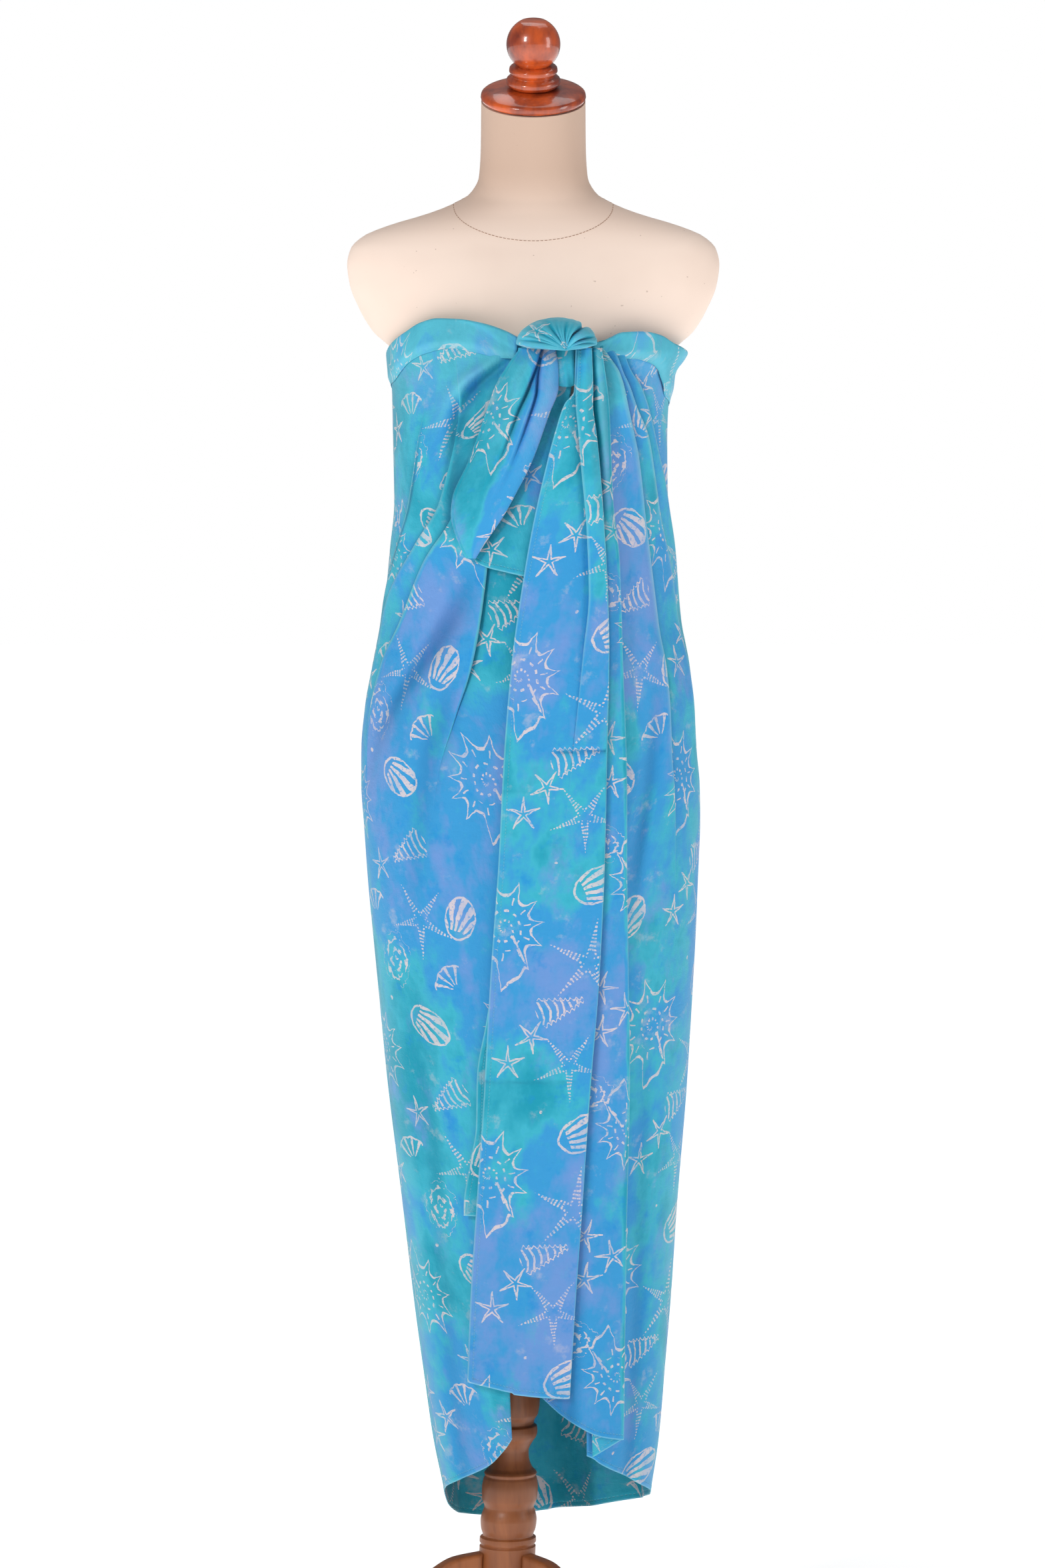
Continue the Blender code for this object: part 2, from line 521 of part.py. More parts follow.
def make_panel(look):
    """The long end that hangs down the front."""
    flat, pleated, turned = 3, 8, 12

    def point(across, up):
        place = across * turned
        low = place / pleated
        foot_x = mix(PANEL[0].left, PANEL[0].right, min(low, 1.0))
        z = mix(read(PANEL_HEM, "z", foot_x), END_TOP, up)
        left, right = read(PANEL, "left", z), read(PANEL, "right", z)
        pleat = min(max(read(PANEL, "pleat", z), left + PLEAT_FROM_LEFT), right - PLEAT_FROM_RIGHT)
        raised = read(PANEL, "pleat_lift", z)
        left_out, right_out = read(PANEL, "left_out", z), read(PANEL, "right_out", z)
        if place <= flat:
            x, extra = mix(left, pleat - PLEAT_STEP / 2, place / flat), 0.0
        elif place <= flat + 1:
            x, extra = pleat + PLEAT_STEP * (place - flat - 0.5), raised * (place - flat)
        elif place <= pleated:
            share = (place - flat - 1) / (pleated - flat - 1)
            x, extra = mix(pleat + PLEAT_STEP / 2, right - PANEL_TURN, share), raised
        else:
            share = (place - pleated) / (turned - pleated)
            return folded_edge(right, z, right_out + raised, PANEL_TURN, 1, PANEL_UNDER, 0.5, share)
        return over_front(x, z, mix(left_out, right_out, (x - left) / (right - left)) + extra)
    cloth("front_panel", turned, 24, point, look)


def make_strip(look):
    """The folded strip behind the panel, at its right."""
    flat, turned = 5, 10

    def point(across, up):
        place = across * turned
        if place <= flat:
            foot = read(STRIP_HEM, "z", mix(STRIP_HEM[0].x, STRIP_HEM[-1].x, place / flat))
        else:
            foot = mix(STRIP_HEM[-1].z, STRIP_BACK_HEM, max(place - flat - 2, 0) / (turned - flat - 2))
        z = mix(foot, END_TOP, up)
        left, right, back, out = (read(STRIP, name, z) for name in ("left", "right", "back", "out"))
        if place <= flat:
            return over_front(mix(left, right - STRIP_TURN, place / flat), z, out)
        return folded_edge(right, z, out, STRIP_TURN, 1, right - back, 0.4, (place - flat) / (turned - flat))
    cloth("front_pleat", turned, 22, point, look)


def make_ends(look):
    """The inner tail and the two layers of the tied corner."""
    def tail_point(across, up):
        z = mix(TAIL[0].z, END_TOP, up)
        return over_front(mix(read(TAIL, "left", z), read(TAIL, "right", z), across), z, TAIL_OUT)
    cloth("inner_tail", 3, 12, tail_point, look)

    def back_point(across, up):
        foot = read(TIE_BACK_HEM, "z", mix(TIE_BACK_HEM[0].x, TIE_BACK_HEM[-1].x, across))
        z = mix(foot, END_TOP, up)
        return over_front(mix(read(TIE_BACK, "left", z), read(TIE_BACK, "right", z), across), z, TIE_BACK_OUT)
    cloth("left_tie_back", 7, 9, back_point, look)

    front, turned = 8, 14

    def roll_point(across, up):
        place = (1 - across) * turned
        z = mix(TIE_ROLL[0].z, END_TOP, up)
        left, right, bulge, crease = (read(TIE_ROLL, name, z) for name in ("left", "right", "bulge", "crease"))
        out = ROLL_BACK_OUT + 2 * ROLL_TURN
        if place <= front:
            share = place / front
            valley = crease * math.exp(-(((share - ROLL_CREASE_AT) / ROLL_CREASE_WIDTH) ** 2))
            raised = bulge * math.sin(math.pi * share) ** ROLL_FULLNESS - valley
            return over_front(mix(right, left + ROLL_TURN, share), z, out + raised)
        under = (right - left) * ROLL_UNDER_SHARE
        return folded_edge(left, z, out, ROLL_TURN, -1, under, 2 / 3, (place - front) / (turned - front))
    cloth("left_tie_roll", turned, 14, roll_point, look)


def make_knot(look):
    """The knot's solid wad and the band under it."""
    bm = bmesh.new()
    bmesh.ops.create_uvsphere(bm, u_segments=32, v_segments=14, radius=1.0)
    for vert in bm.verts:
        across, deep, rise = vert.co
        x = across * KNOT_HALF[0] + KNOT_CENTRE[0]
        height = KNOT_RISE * max(rise, 0.0) * (1 - KNOT_RIGHT_DROP * max(across, 0.0) ** 2)
        fold = KNOT_FOLD * math.cos(KNOT_FOLDS * math.atan2(height, x - KNOT_PINCH_X))
        under = KNOT_EDGE * (1 - min(max(-rise, 0.0) / KNOT_FLAT, 1.0))
        y = KNOT_CENTRE[1] + deep * KNOT_HALF[1] - fold * max(-deep, 0.0) * max(rise, 0.0)
        vert.co = (x, y, KNOT_BOTTOM + under + height)
    finish("knot_wrap", bm, look, 60)

    def loop_point(across, up):
        side = 2 * across - 1
        z = mix(LOOP_Z[0], LOOP_Z[1], up)
        crown = 1 - side**4
        fall = math.sin(math.pi * mix(*LOOP_FALL, up))
        return over_front(mix(LOOP_X[0], LOOP_X[1], across), z, LOOP_OUT + LOOP_BULGE * crown * fall)
    cloth("knot_loop", 6, 5, loop_point, look)


def loft(bm, rings):
    """Closed skin through rings of points, with flat ends."""
    loops = []
    for ring in rings:
        verts = [bm.verts.new(p) for p in ring]
        loops.append([bm.edges.new((a, b)) for a, b in zip(verts, verts[1:] + verts[:1])])
    for lower, upper in zip(loops, loops[1:]):
        bmesh.ops.bridge_loops(bm, edges=lower + upper)
    for loop in (loops[0], loops[-1]):
        bmesh.ops.edgeloop_fill(bm, edges=loop)
    bmesh.ops.recalc_face_normals(bm, faces=bm.faces)


def body_ring(row):
    """One level ring of the dress form, tilted with the neck where the neck leans forward."""
    ring = []
    for k in range(BODY_SIDES):
        side, ahead = math.sin(math.tau * k / BODY_SIDES), math.cos(math.tau * k / BODY_SIDES)
        y = -row.front * ahead**row.narrow if ahead > 0 else row.back * -ahead
        tilted = Matrix.Rotation(math.radians(row.tilt), 3, "X") @ Vector((row.half * side, y, 0))
        ring.append(tilted + Vector((0, row.shift, row.z)))
    return ring


def turned_piece(name, rows, sides, look, place):
    """A piece turned on its own Z axis, then put in place."""
    bm = bmesh.new()
    verts = [bm.verts.new((row.r, 0, row.z)) for row in rows]
    edges = [bm.edges.new(pair) for pair in zip(verts, verts[1:])]
    bmesh.ops.spin(bm, geom=verts + edges, cent=(0, 0, 0), axis=(0, 0, 1), angle=math.tau, steps=sides,
                   use_merge=True)
    bmesh.ops.remove_doubles(bm, verts=bm.verts, dist=0.00005)
    bmesh.ops.recalc_face_normals(bm, faces=bm.faces)
    bmesh.ops.transform(bm, matrix=place, verts=bm.verts)
    return finish(name, bm, look, 35)


def make_form(cover, lacquer):
    """Torso with shoulders and neck, the turned cap on its neck, and the finial."""
    bm = bmesh.new()
    loft(bm, [body_ring(row) for row in BODY])
    finish("dress_form", bm, cover, 60)
    neck = BODY[-1]
    axis = Matrix.Translation((0.0, neck.shift, neck.z)) @ Matrix.Rotation(CAP_TILT, 4, "X")
    axis = axis @ Matrix.Translation((0, 0, FIT_GAP))
    turned_piece("neck_cap", NECK_CAP, CAP_SIDES, lacquer, axis)
    start = math.asin(FINIAL[-1].r / BALL_RADIUS)
    end = math.pi - math.asin(BALL_FACET / BALL_RADIUS)
    ball = []
    for k in range(BALL_RINGS + 1):
        angle = mix(start, end, k / BALL_RINGS)
        ball.append(Turn(BALL_CENTRE - BALL_RADIUS * math.cos(angle), BALL_RADIUS * math.sin(angle)))
    tip = Turn(ball[-1].z, 0.0)
    turned_piece("finial", FINIAL[:-1] + ball + [tip], CAP_SIDES, lacquer, axis)


def make_stand(wood):
    """Plate under the torso, leaning turned column and three legs."""
    turned_piece("hip_plate", PLATE, CAP_SIDES, wood, Matrix.Identity(4))
    leaning = Matrix.Translation((-LEAN * LEAN_FROM, 0, 0))
    leaning[0][2] = LEAN
    turned_piece("stand_column", COLUMN, COLUMN_SIDES, wood, leaning)
    for number, turn in enumerate(LEG_TURNS, 1):
        make_leg(f"stand_leg_{number}", leaning @ Matrix.Rotation(math.radians(turn), 4, "Z"), wood)


def make_leg(name, place, wood):
    """One curved leg: its side outline, thickened, with softened long edges."""
    bm = bmesh.new()
    outline = [(row.r, row.top) for row in LEG] + [(row.r, row.under) for row in reversed(LEG)]
    verts = [bm.verts.new((r, -LEG_THICK / 2, z)) for r, z in outline]
    face = bm.faces.new(verts)
    swept = bmesh.ops.extrude_face_region(bm, geom=[face])["geom"]
    moved = [item for item in swept if isinstance(item, bmesh.types.BMVert)]
    bmesh.ops.translate(bm, verts=moved, vec=(0, LEG_THICK, 0))
    bmesh.ops.recalc_face_normals(bm, faces=bm.faces)
    rim = []
    for edge in bm.edges:
        run = edge.verts[1].co - edge.verts[0].co
        if abs(run.y) < 1e-6 < abs(run.x) and max(vert.co.z for vert in edge.verts) > SOLE_TOP:
            rim.append(edge)
    bmesh.ops.bevel(bm, geom=rim, offset=LEG_EDGE, offset_type="OFFSET", segments=1, profile=0.5,
                    affect="EDGES", material=-1)
    bmesh.ops.transform(bm, matrix=place, verts=bm.verts)
    finish(name, bm, wood, 35)


def main():
    for old in list(bpy.data.objects):
        bpy.data.objects.remove(old)
    batik = material("batik_cloth", (0.05, 0.52, 0.80), 0.62)
    cover = material("form_cover", (0.93, 0.80, 0.70), 0.80)
    lacquer = material("lacquered_wood", (0.48, 0.10, 0.03), 0.18)
    wood = material("stand_wood", (0.23, 0.10, 0.04), 0.40)
    make_wrap(batik)
    make_band("top_fold_left", -SEAM_TURN + SEAM_GAP_TURN, -7.5, 14, batik)
    make_band("top_fold_right", 27.0, SEAM_TURN - SEAM_GAP_TURN, 11, batik)
    make_band("top_fold_back", SEAM_TURN, 360 - SEAM_TURN, 22, batik)
    make_panel(batik)
    make_strip(batik)
    make_ends(batik)
    make_knot(batik)
    make_form(cover, lacquer)
    make_stand(wood)


main()
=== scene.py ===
"""Looks of the batik sarong: one cloth knotted over the bust of a limbless dress form on a turned tripod stand.

Metres, +Z up, front at -Y. Heights are above the floor. Angles go round the body in degrees, 0 at centre front and
rising towards the viewer's right. "out" is how far the middle of a layer stands outside the body of the wrap.
Every cloth piece has two UV maps in metres: "print" lies flat on the cloth, and "rim" gives the place along the
nearest hem and the distance from it.
"""

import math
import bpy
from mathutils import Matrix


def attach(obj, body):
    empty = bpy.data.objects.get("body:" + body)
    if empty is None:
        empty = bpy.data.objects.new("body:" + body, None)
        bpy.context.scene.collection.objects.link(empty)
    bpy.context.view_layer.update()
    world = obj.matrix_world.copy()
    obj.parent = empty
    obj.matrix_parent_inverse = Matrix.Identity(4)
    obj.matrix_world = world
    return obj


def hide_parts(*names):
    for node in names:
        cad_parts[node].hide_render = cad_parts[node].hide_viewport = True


bl_info = {
    "name": "Batik sarong on a dress form",
    "version": (1, 0, 0),
    "blender": (4, 5, 0),
    "location": "3D View > Sidebar > Sarong",
    "description": "Builds the wrapped cloth, its knot and hanging ends, the dress form and its wooden stand",
    "category": "Object",
}

from collections import namedtuple

import bmesh
import bpy
import numpy as np
from mathutils import Matrix, Vector

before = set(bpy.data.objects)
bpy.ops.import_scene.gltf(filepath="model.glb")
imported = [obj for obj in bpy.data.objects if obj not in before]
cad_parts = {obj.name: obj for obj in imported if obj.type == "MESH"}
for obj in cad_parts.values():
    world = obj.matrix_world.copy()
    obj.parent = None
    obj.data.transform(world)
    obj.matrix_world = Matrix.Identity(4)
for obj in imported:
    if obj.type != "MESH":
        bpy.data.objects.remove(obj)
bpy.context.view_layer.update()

BODY = "root"
FORM_PLACE = np.array((0.04503, -0.03414, 0.0))


class Table:
    """Rows of numbers whose named columns are read as smooth curves over the first column."""

    def __init__(self, names, *rows):
        self.names = names.split()
        self.rows = np.array(rows, float)

    def __call__(self, name, at):
        xs, ys = self.rows[:, 0], self.rows[:, self.names.index(name)]
        at = np.clip(at, xs[0], xs[-1])
        k = np.clip(np.searchsorted(xs, at, "right") - 1, 0, len(xs) - 2)
        widths = np.diff(xs)
        grades = np.diff(ys) / widths
        before, after = grades[:-1], grades[1:]
        same_way = before * after > 0
        inner = np.where(same_way, 2 * before * after / np.where(same_way, before + after, 1.0), 0.0)
        slopes = np.concatenate([grades[:1], inner, grades[-1:]])
        t = (at - xs[k]) / widths[k]
        rise = t * t * (3 - 2 * t)
        bend = widths[k] * t * (1 - t)
        return ys[k] * (1 - rise) + ys[k + 1] * rise + bend * (slopes[k] * (1 - t) - slopes[k + 1] * t)


# Shape of the wrapped body, its top edge and hem, and its hidden inner edges
GIRTH = Table(
    "z left right front back",
    (0.150, -0.0790, 0.1100, 0.090, 0.080), (0.207, -0.0881, 0.1171, 0.096, 0.085),
    (0.267, -0.1001, 0.1257, 0.100, 0.088), (0.338, -0.1100, 0.1315, 0.106, 0.092),
    (0.410, -0.1199, 0.1374, 0.110, 0.095), (0.489, -0.1291, 0.1425, 0.114, 0.098),
    (0.623, -0.1448, 0.1529, 0.120, 0.103), (0.764, -0.1578, 0.1612, 0.125, 0.109),
    (0.827, -0.1637, 0.1637, 0.127, 0.111), (0.882, -0.1675, 0.1655, 0.128, 0.112),
    (0.921, -0.1701, 0.1648, 0.128, 0.112), (0.952, -0.1700, 0.1620, 0.128, 0.110),
    (0.999, -0.1653, 0.1593, 0.127, 0.106), (1.038, -0.1573, 0.1539, 0.127, 0.102),
    (1.085, -0.1479, 0.1432, 0.128, 0.098), (1.155, -0.1412, 0.1359, 0.129, 0.097),
    (1.201, -0.1371, 0.1324, 0.131, 0.097), (1.263, -0.1384, 0.1317, 0.130, 0.098),
    (1.324, -0.1396, 0.1355, 0.122, 0.100), (1.351, -0.1416, 0.1487, 0.116, 0.101),
    (1.385, -0.1430, 0.1550, 0.108, 0.101),
)
EDGE = Table(
    "turn top hem",
    (-180, 1.315, 0.172), (-140, 1.324, 0.1725), (-118, 1.332, 0.180), (-100, 1.341, 0.194), (-90, 1.346, 0.207),
    (-60, 1.368, 0.229), (-50, 1.377, 0.236), (-41, 1.381, 0.243), (-30, 1.380, 0.254), (-21, 1.376, 0.271),
    (-12.6, 1.369, 0.292), (-7, 1.362, 0.296), (0, 1.354, 0.298), (17, 1.355, 0.268), (24.5, 1.359, 0.261),
    (27.8, 1.362, 0.256), (33.2, 1.3675, 0.250), (42.3, 1.3683, 0.242), (52.7, 1.365, 0.233), (64, 1.3565, 0.224),
    (90, 1.347, 0.207), (100, 1.343, 0.203), (133, 1.326, 0.188), (180, 1.315, 0.172),
)
BAND = Table(
    "turn low",
    (-180, 1.268), (-120, 1.296), (-90, 1.316), (-76, 1.320), (-66.8, 1.3290), (-58.3, 1.339), (-47, 1.3475),
    (-35, 1.352), (-23.2, 1.3475), (-14.2, 1.3430), (-8, 1.3420), (26.5, 1.3420), (40.8, 1.342), (52, 1.338),
    (60, 1.332), (66, 1.321), (74, 1.305), (90, 1.298), (120, 1.284), (180, 1.268),
)
INNER = Table(
    "z left right",
    (0.15, -17.5, 22.5), (0.33, -16.5, 20.0), (0.50, -8.0, 19.0), (0.70, 0.0, 18.0), (0.90, 4.0, 17.0),
    (1.10, 8.0, 18.0), (1.30, 9.0, 20.0), (1.355, 9.5, 26.0),
)

# A fold is a line down the cloth and how far it lifts the cloth. A sharp fold overhangs the cloth on its low side,
# and reach_deg is how far its lift runs on the other side. A soft fold runs as far to both sides.
Fold = namedtuple("Fold", "low reach_deg line")


def fold(low, reach_deg, *rows):
    return Fold(low, reach_deg, Table("z turn lift", *rows))


LEFT_DRAGS = [
    fold("left", 9, (0.15, -92, 0), (0.90, -92, 0), (1.085, -87, 0.0015), (1.146, -71, 0.0030), (1.20, -60, 0.0035),
         (1.26, -53, 0.0018), (1.30, -49, 0), (1.37, -50, 0)),
    fold("left", 8, (0.15, -84, 0), (0.95, -83, 0), (1.085, -78, 0.0030), (1.159, -53.5, 0.0035),
         (1.206, -39, 0.0035), (1.30, -30, 0.0010), (1.37, -34, 0)),
    fold("left", 9, (0.15, -77, 0), (0.93, -76, 0), (1.038, -70, 0.0030), (1.0895, -58.5, 0.0035),
         (1.143, -47, 0.0035), (1.188, -33.5, 0.0030), (1.235, -27, 0.0010), (1.262, -24, 0), (1.37, -22, 0)),
    fold("right", 12, (0.15, -42, 0), (0.86, -37, 0), (0.933, -33, 0.0003), (0.985, -28, 0.0012),
         (1.050, -23, 0.0030), (1.130, -19.3, 0.0034), (1.19, -17, 0.0014), (1.225, -15.5, 0), (1.37, -13, 0)),
]
RIGHT_PLEATS = [
    fold("right", 9, (0.15, 60, 0), (0.80, 58, 0), (0.90, 56.5, 0.0014), (0.983, 55.5, 0.0035), (1.084, 56, 0.0042),
         (1.158, 54, 0.0042), (1.244, 48.7, 0.0046), (1.298, 41.3, 0.0044), (1.3265, 36.5, 0.0038),
         (1.345, 28, 0.0026), (1.355, 24, 0.0010)),
    fold("right", 8, (0.15, 82, 0), (0.86, 80, 0), (1.022, 78, 0.0030), (1.12, 75, 0.0036), (1.1825, 66.2, 0.0040),
         (1.239, 59, 0.0042), (1.269, 54.5, 0.0044), (1.293, 47.6, 0.0042), (1.32, 41, 0.0036),
         (1.345, 32, 0.0022), (1.355, 28, 0.0010)),
    fold("right", 8, (0.15, 92, 0), (1.00, 91, 0), (1.146, 87, 0.0028), (1.219, 73.2, 0.0036), (1.246, 66, 0.0038),
         (1.281, 58.8, 0.0036), (1.313, 50.2, 0.0034), (1.340, 38, 0.0022), (1.355, 32.5, 0)),
]
LEFT_SOFT = [
    fold(None, 4.5, (1.12, -34, 0), (1.22, -33, -0.0020), (1.27, -32, -0.0036), (1.31, -24, -0.0042),
         (1.345, -9, -0.0015), (1.36, -6, 0)),
    fold(None, 5, (1.26, -42, 0), (1.295, -37, 0.0012), (1.322, -27, 0.0024), (1.345, -13, 0.0010), (1.36, -10, 0)),
    fold(None, 6.5, (0.90, -76, 0), (0.96, -66, -0.0016), (1.01, -55, -0.0034), (1.07, -38, -0.0042),
         (1.115, -28, -0.0026), (1.16, -22, 0)),
    fold(None, 6, (0.78, -50, 0), (0.88, -42, -0.0018), (0.98, -34, -0.0026), (1.06, -27, 0)),
    fold(None, 9, (0.20, -63, 0.0022), (0.50, -66, 0.0020), (0.80, -72, 0.0010), (0.95, -74, 0)),
    fold(None, 8, (0.20, -50, -0.0020), (0.55, -48, -0.0016), (0.90, -44, 0)),
]
RIGHT_SOFT = [
    fold(None, 4, (0.80, 34, 0), (0.85, 37, -0.0018), (0.895, 41, -0.0026), (0.955, 47, -0.0026),
         (1.02, 51, -0.0012), (1.06, 52, 0)),
    fold(None, 6, (0.20, 48, -0.0024), (0.50, 46, -0.0020), (0.78, 42, 0)),
    fold(None, 9, (0.20, 70, 0.0020), (0.50, 70, 0.0018), (0.85, 72, 0)),
]
BACK_SOFT = [
    fold(None, 9, (0.18, 124, 0.0040), (0.60, 122, 0.0030), (0.86, 118, 0)),
    fold(None, 10, (0.18, 148, -0.0040), (0.60, 150, -0.0030), (0.88, 152, 0)),
    fold(None, 9, (0.18, 176, 0.0036), (0.55, 178, 0.0028), (0.84, 180, 0)),
    fold(None, 10, (0.18, 205, -0.0042), (0.62, 206, -0.0030), (0.90, 208, 0)),
    fold(None, 9, (0.18, 232, 0.0040), (0.60, 236, 0.0028), (0.86, 240, 0)),
    fold(None, 12, (1.02, 150, 0), (1.10, 165, 0.0022), (1.16, 185, 0.0022), (1.22, 205, 0)),
]

# The hanging ends, seen from the front: edges across the body by height
END_TOP = 1.3525
PANEL = Table(
    "z left pleat right left_out right_out pleat_lift",
    (0.326, -0.0653, -0.0200, 0.0354, 0.0090, 0.0142, 0), (0.4275, -0.0613, -0.0140, 0.0414, 0.0090, 0.0142, 0),
    (0.5095, -0.0560, -0.0060, 0.0471, 0.0092, 0.0142, 0), (0.617, -0.0488, 0.0040, 0.0541, 0.0094, 0.0142, 0),
    (0.745, -0.0416, 0.0160, 0.0640, 0.0095, 0.0142, 0), (0.856, -0.0338, 0.0270, 0.0690, 0.0095, 0.0142, 0),
    (0.9675, -0.0280, 0.0390, 0.0713, 0.0100, 0.0142, 0.0006),
    (1.059, -0.0200, 0.0490, 0.0731, 0.0120, 0.0142, 0.0018),
    (1.117, -0.0119, 0.0550, 0.0717, 0.0135, 0.0142, 0.0026),
    (1.174, -0.0023, 0.0532, 0.0685, 0.0138, 0.0142, 0.0030),
    (1.241, 0.0125, 0.0475, 0.0636, 0.0138, 0.0145, 0.0032), (1.270, 0.0202, 0.0452, 0.0605, 0.0138, 0.0150, 0.0032),
    (1.2987, 0.0298, 0.0424, 0.0570, 0.0142, 0.0160, 0.0030),
    (1.311, 0.0390, 0.0420, 0.0572, 0.0160, 0.0175, 0.0024), (1.350, 0.0404, 0.0434, 0.0560, 0.0210, 0.0225, 0.0010),
)
PANEL_HEM = Table("x z", (-0.0653, 0.338), (-0.0431, 0.3345), (-0.0197, 0.3305), (0.0155, 0.327), (0.0354, 0.326))
STRIP = Table(
    "z left right back out",
    (0.262, 0.0080, 0.0889, 0.0585, 0.0094), (0.357, 0.0080, 0.0898, 0.0560, 0.0094),
    (0.475, 0.0150, 0.0911, 0.0540, 0.0094), (0.652, 0.0250, 0.0941, 0.0540, 0.0094),
    (0.745, 0.0310, 0.0925, 0.0540, 0.0094), (0.852, 0.0350, 0.0909, 0.0560, 0.0094),
    (0.921, 0.0370, 0.0908, 0.0570, 0.0094), (1.0475, 0.0390, 0.0867, 0.0570, 0.0094),
    (1.146, 0.0400, 0.0833, 0.0560, 0.0094), (1.207, 0.0400, 0.0768, 0.0540, 0.0094),
    (1.298, 0.0430, 0.0728, 0.0520, 0.0106), (1.350, 0.0480, 0.0660, 0.0540, 0.0165),
)
STRIP_HEM = Table("x z", (0.0080, 0.3270), (0.0259, 0.3100), (0.0442, 0.2967), (0.0658, 0.2850), (0.0889, 0.2790))
TAIL = Table(
    "z left right",
    (0.505, -0.0680, -0.0230), (0.515, -0.0680, -0.0200), (0.561, -0.0610, -0.0140), (0.595, -0.0560, -0.0110),
    (0.644, -0.0550, -0.0080), (0.700, -0.0456, 0.0000), (0.780, -0.0340, 0.0100), (1.000, -0.0130, 0.0200),
    (1.110, -0.0020, 0.0240), (1.250, 0.0020, 0.0240), (1.350, 0.0040, 0.0220),
)
TIE_BACK = Table(
    "z left right",
    (1.129, -0.0620, 0.0120), (1.160, -0.0720, 0.0140), (1.187, -0.0765, 0.0170), (1.205, -0.0735, 0.0190),
    (1.245, -0.0560, 0.0240), (1.288, -0.0400, 0.0320), (1.318, -0.0240, 0.0370), (1.350, -0.0080, 0.0390),
)
TIE_BACK_HEM = Table(
    "x z",
    (-0.0765, 1.180), (-0.0720, 1.163), (-0.0580, 1.143), (-0.0350, 1.137), (-0.0093, 1.132), (0.0120, 1.129),
)
TIE_ROLL = Table(
    "z left right bulge crease",
    (1.150, -0.0650, -0.0560, 0.0010, 0), (1.163, -0.0715, -0.0480, 0.0025, 0), (1.192, -0.0796, -0.0285, 0.0045, 0),
    (1.2065, -0.0783, -0.0205, 0.0050, 0.0004), (1.245, -0.0617, -0.0010, 0.0062, 0.0020),
    (1.288, -0.0464, 0.0145, 0.0078, 0.0045), (1.315, -0.0368, 0.0238, 0.0086, 0.0058),
    (1.337, -0.0240, 0.0240, 0.0080, 0.0060), (1.350, -0.0144, 0.0225, 0.0070, 0.0050),
)

# Dress form, and the outlines of the turned pieces and of one leg
TORSO = Table(
    "z half front back narrow shift tilt",
    (0.800, 0.1480, 0.106, 0.094, 1.0, 0, 0), (0.830, 0.1560, 0.110, 0.098, 1.0, 0, 0),
    (0.870, 0.1615, 0.112, 0.100, 1.0, 0, 0), (0.905, 0.1636, 0.111, 0.100, 1.0, 0, 0),
    (0.930, 0.1620, 0.110, 0.100, 1.0, 0, 0), (0.980, 0.1515, 0.105, 0.094, 1.0, 0, 0),
    (1.040, 0.1360, 0.100, 0.086, 1.0, 0, 0), (1.100, 0.1250, 0.098, 0.082, 1.0, 0, 0),
    (1.160, 0.1240, 0.104, 0.084, 1.0, 0, 0), (1.210, 0.1270, 0.112, 0.086, 1.05, 0, 0),
    (1.262, 0.1285, 0.112, 0.088, 1.15, 0, 0), (1.300, 0.1300, 0.106, 0.090, 1.30, 0, 0),
    (1.328, 0.1330, 0.100, 0.090, 1.45, 0, 0), (1.346, 0.1365, 0.096, 0.090, 1.60, 0, 0),
    (1.354, 0.1420, 0.094, 0.090, 1.60, 0, 0), (1.368, 0.1575, 0.091, 0.089, 1.60, 0, 0),
    (1.390, 0.1710, 0.086, 0.087, 1.50, 0, 0), (1.415, 0.1810, 0.079, 0.083, 1.35, 0, 0),
    (1.435, 0.1835, 0.072, 0.077, 1.25, 0, 0), (1.450, 0.1800, 0.065, 0.071, 1.15, 0, 0),
    (1.462, 0.1680, 0.060, 0.066, 1.10, 0, 0), (1.473, 0.1420, 0.057, 0.062, 1.05, 0.001, 1),
    (1.484, 0.1050, 0.054, 0.059, 1.0, 0.001, 3), (1.493, 0.0810, 0.052, 0.057, 1.0, 0.000, 5),
    (1.504, 0.0620, 0.050, 0.054, 1.0, -0.002, 8), (1.520, 0.0535, 0.0500, 0.0520, 1.0, -0.006, 12),
    (1.548, 0.0516, 0.0505, 0.0510, 1.0, -0.013, 17), (1.5935, 0.0510, 0.0510, 0.0510, 1.0, -0.029, 21),
)
NECK_CAP = [
    (0.0000, 0.0), (0.0000, 0.0460), (0.0010, 0.0500), (0.0040, 0.0515), (0.0070, 0.0510), (0.0090, 0.0490),
    (0.0115, 0.0420), (0.0135, 0.0300), (0.0140, 0.0200), (0.0140, 0.0),
]
FINIAL = [
    (0.0143, 0.0), (0.0143, 0.0215), (0.0160, 0.0245), (0.0190, 0.0265), (0.0220, 0.0262), (0.0248, 0.0232),
    (0.0262, 0.0212), (0.0280, 0.0224), (0.0305, 0.0237), (0.0335, 0.0233), (0.0358, 0.0200), (0.0372, 0.0165),
]
BALL_RADIUS = 0.0263
BALL_CENTRE = 0.0573
BALL_FACET = 0.0127
PLATE = [(0.7877, 0.0), (0.7877, 0.0880), (0.7997, 0.0920), (0.7997, 0.0)]
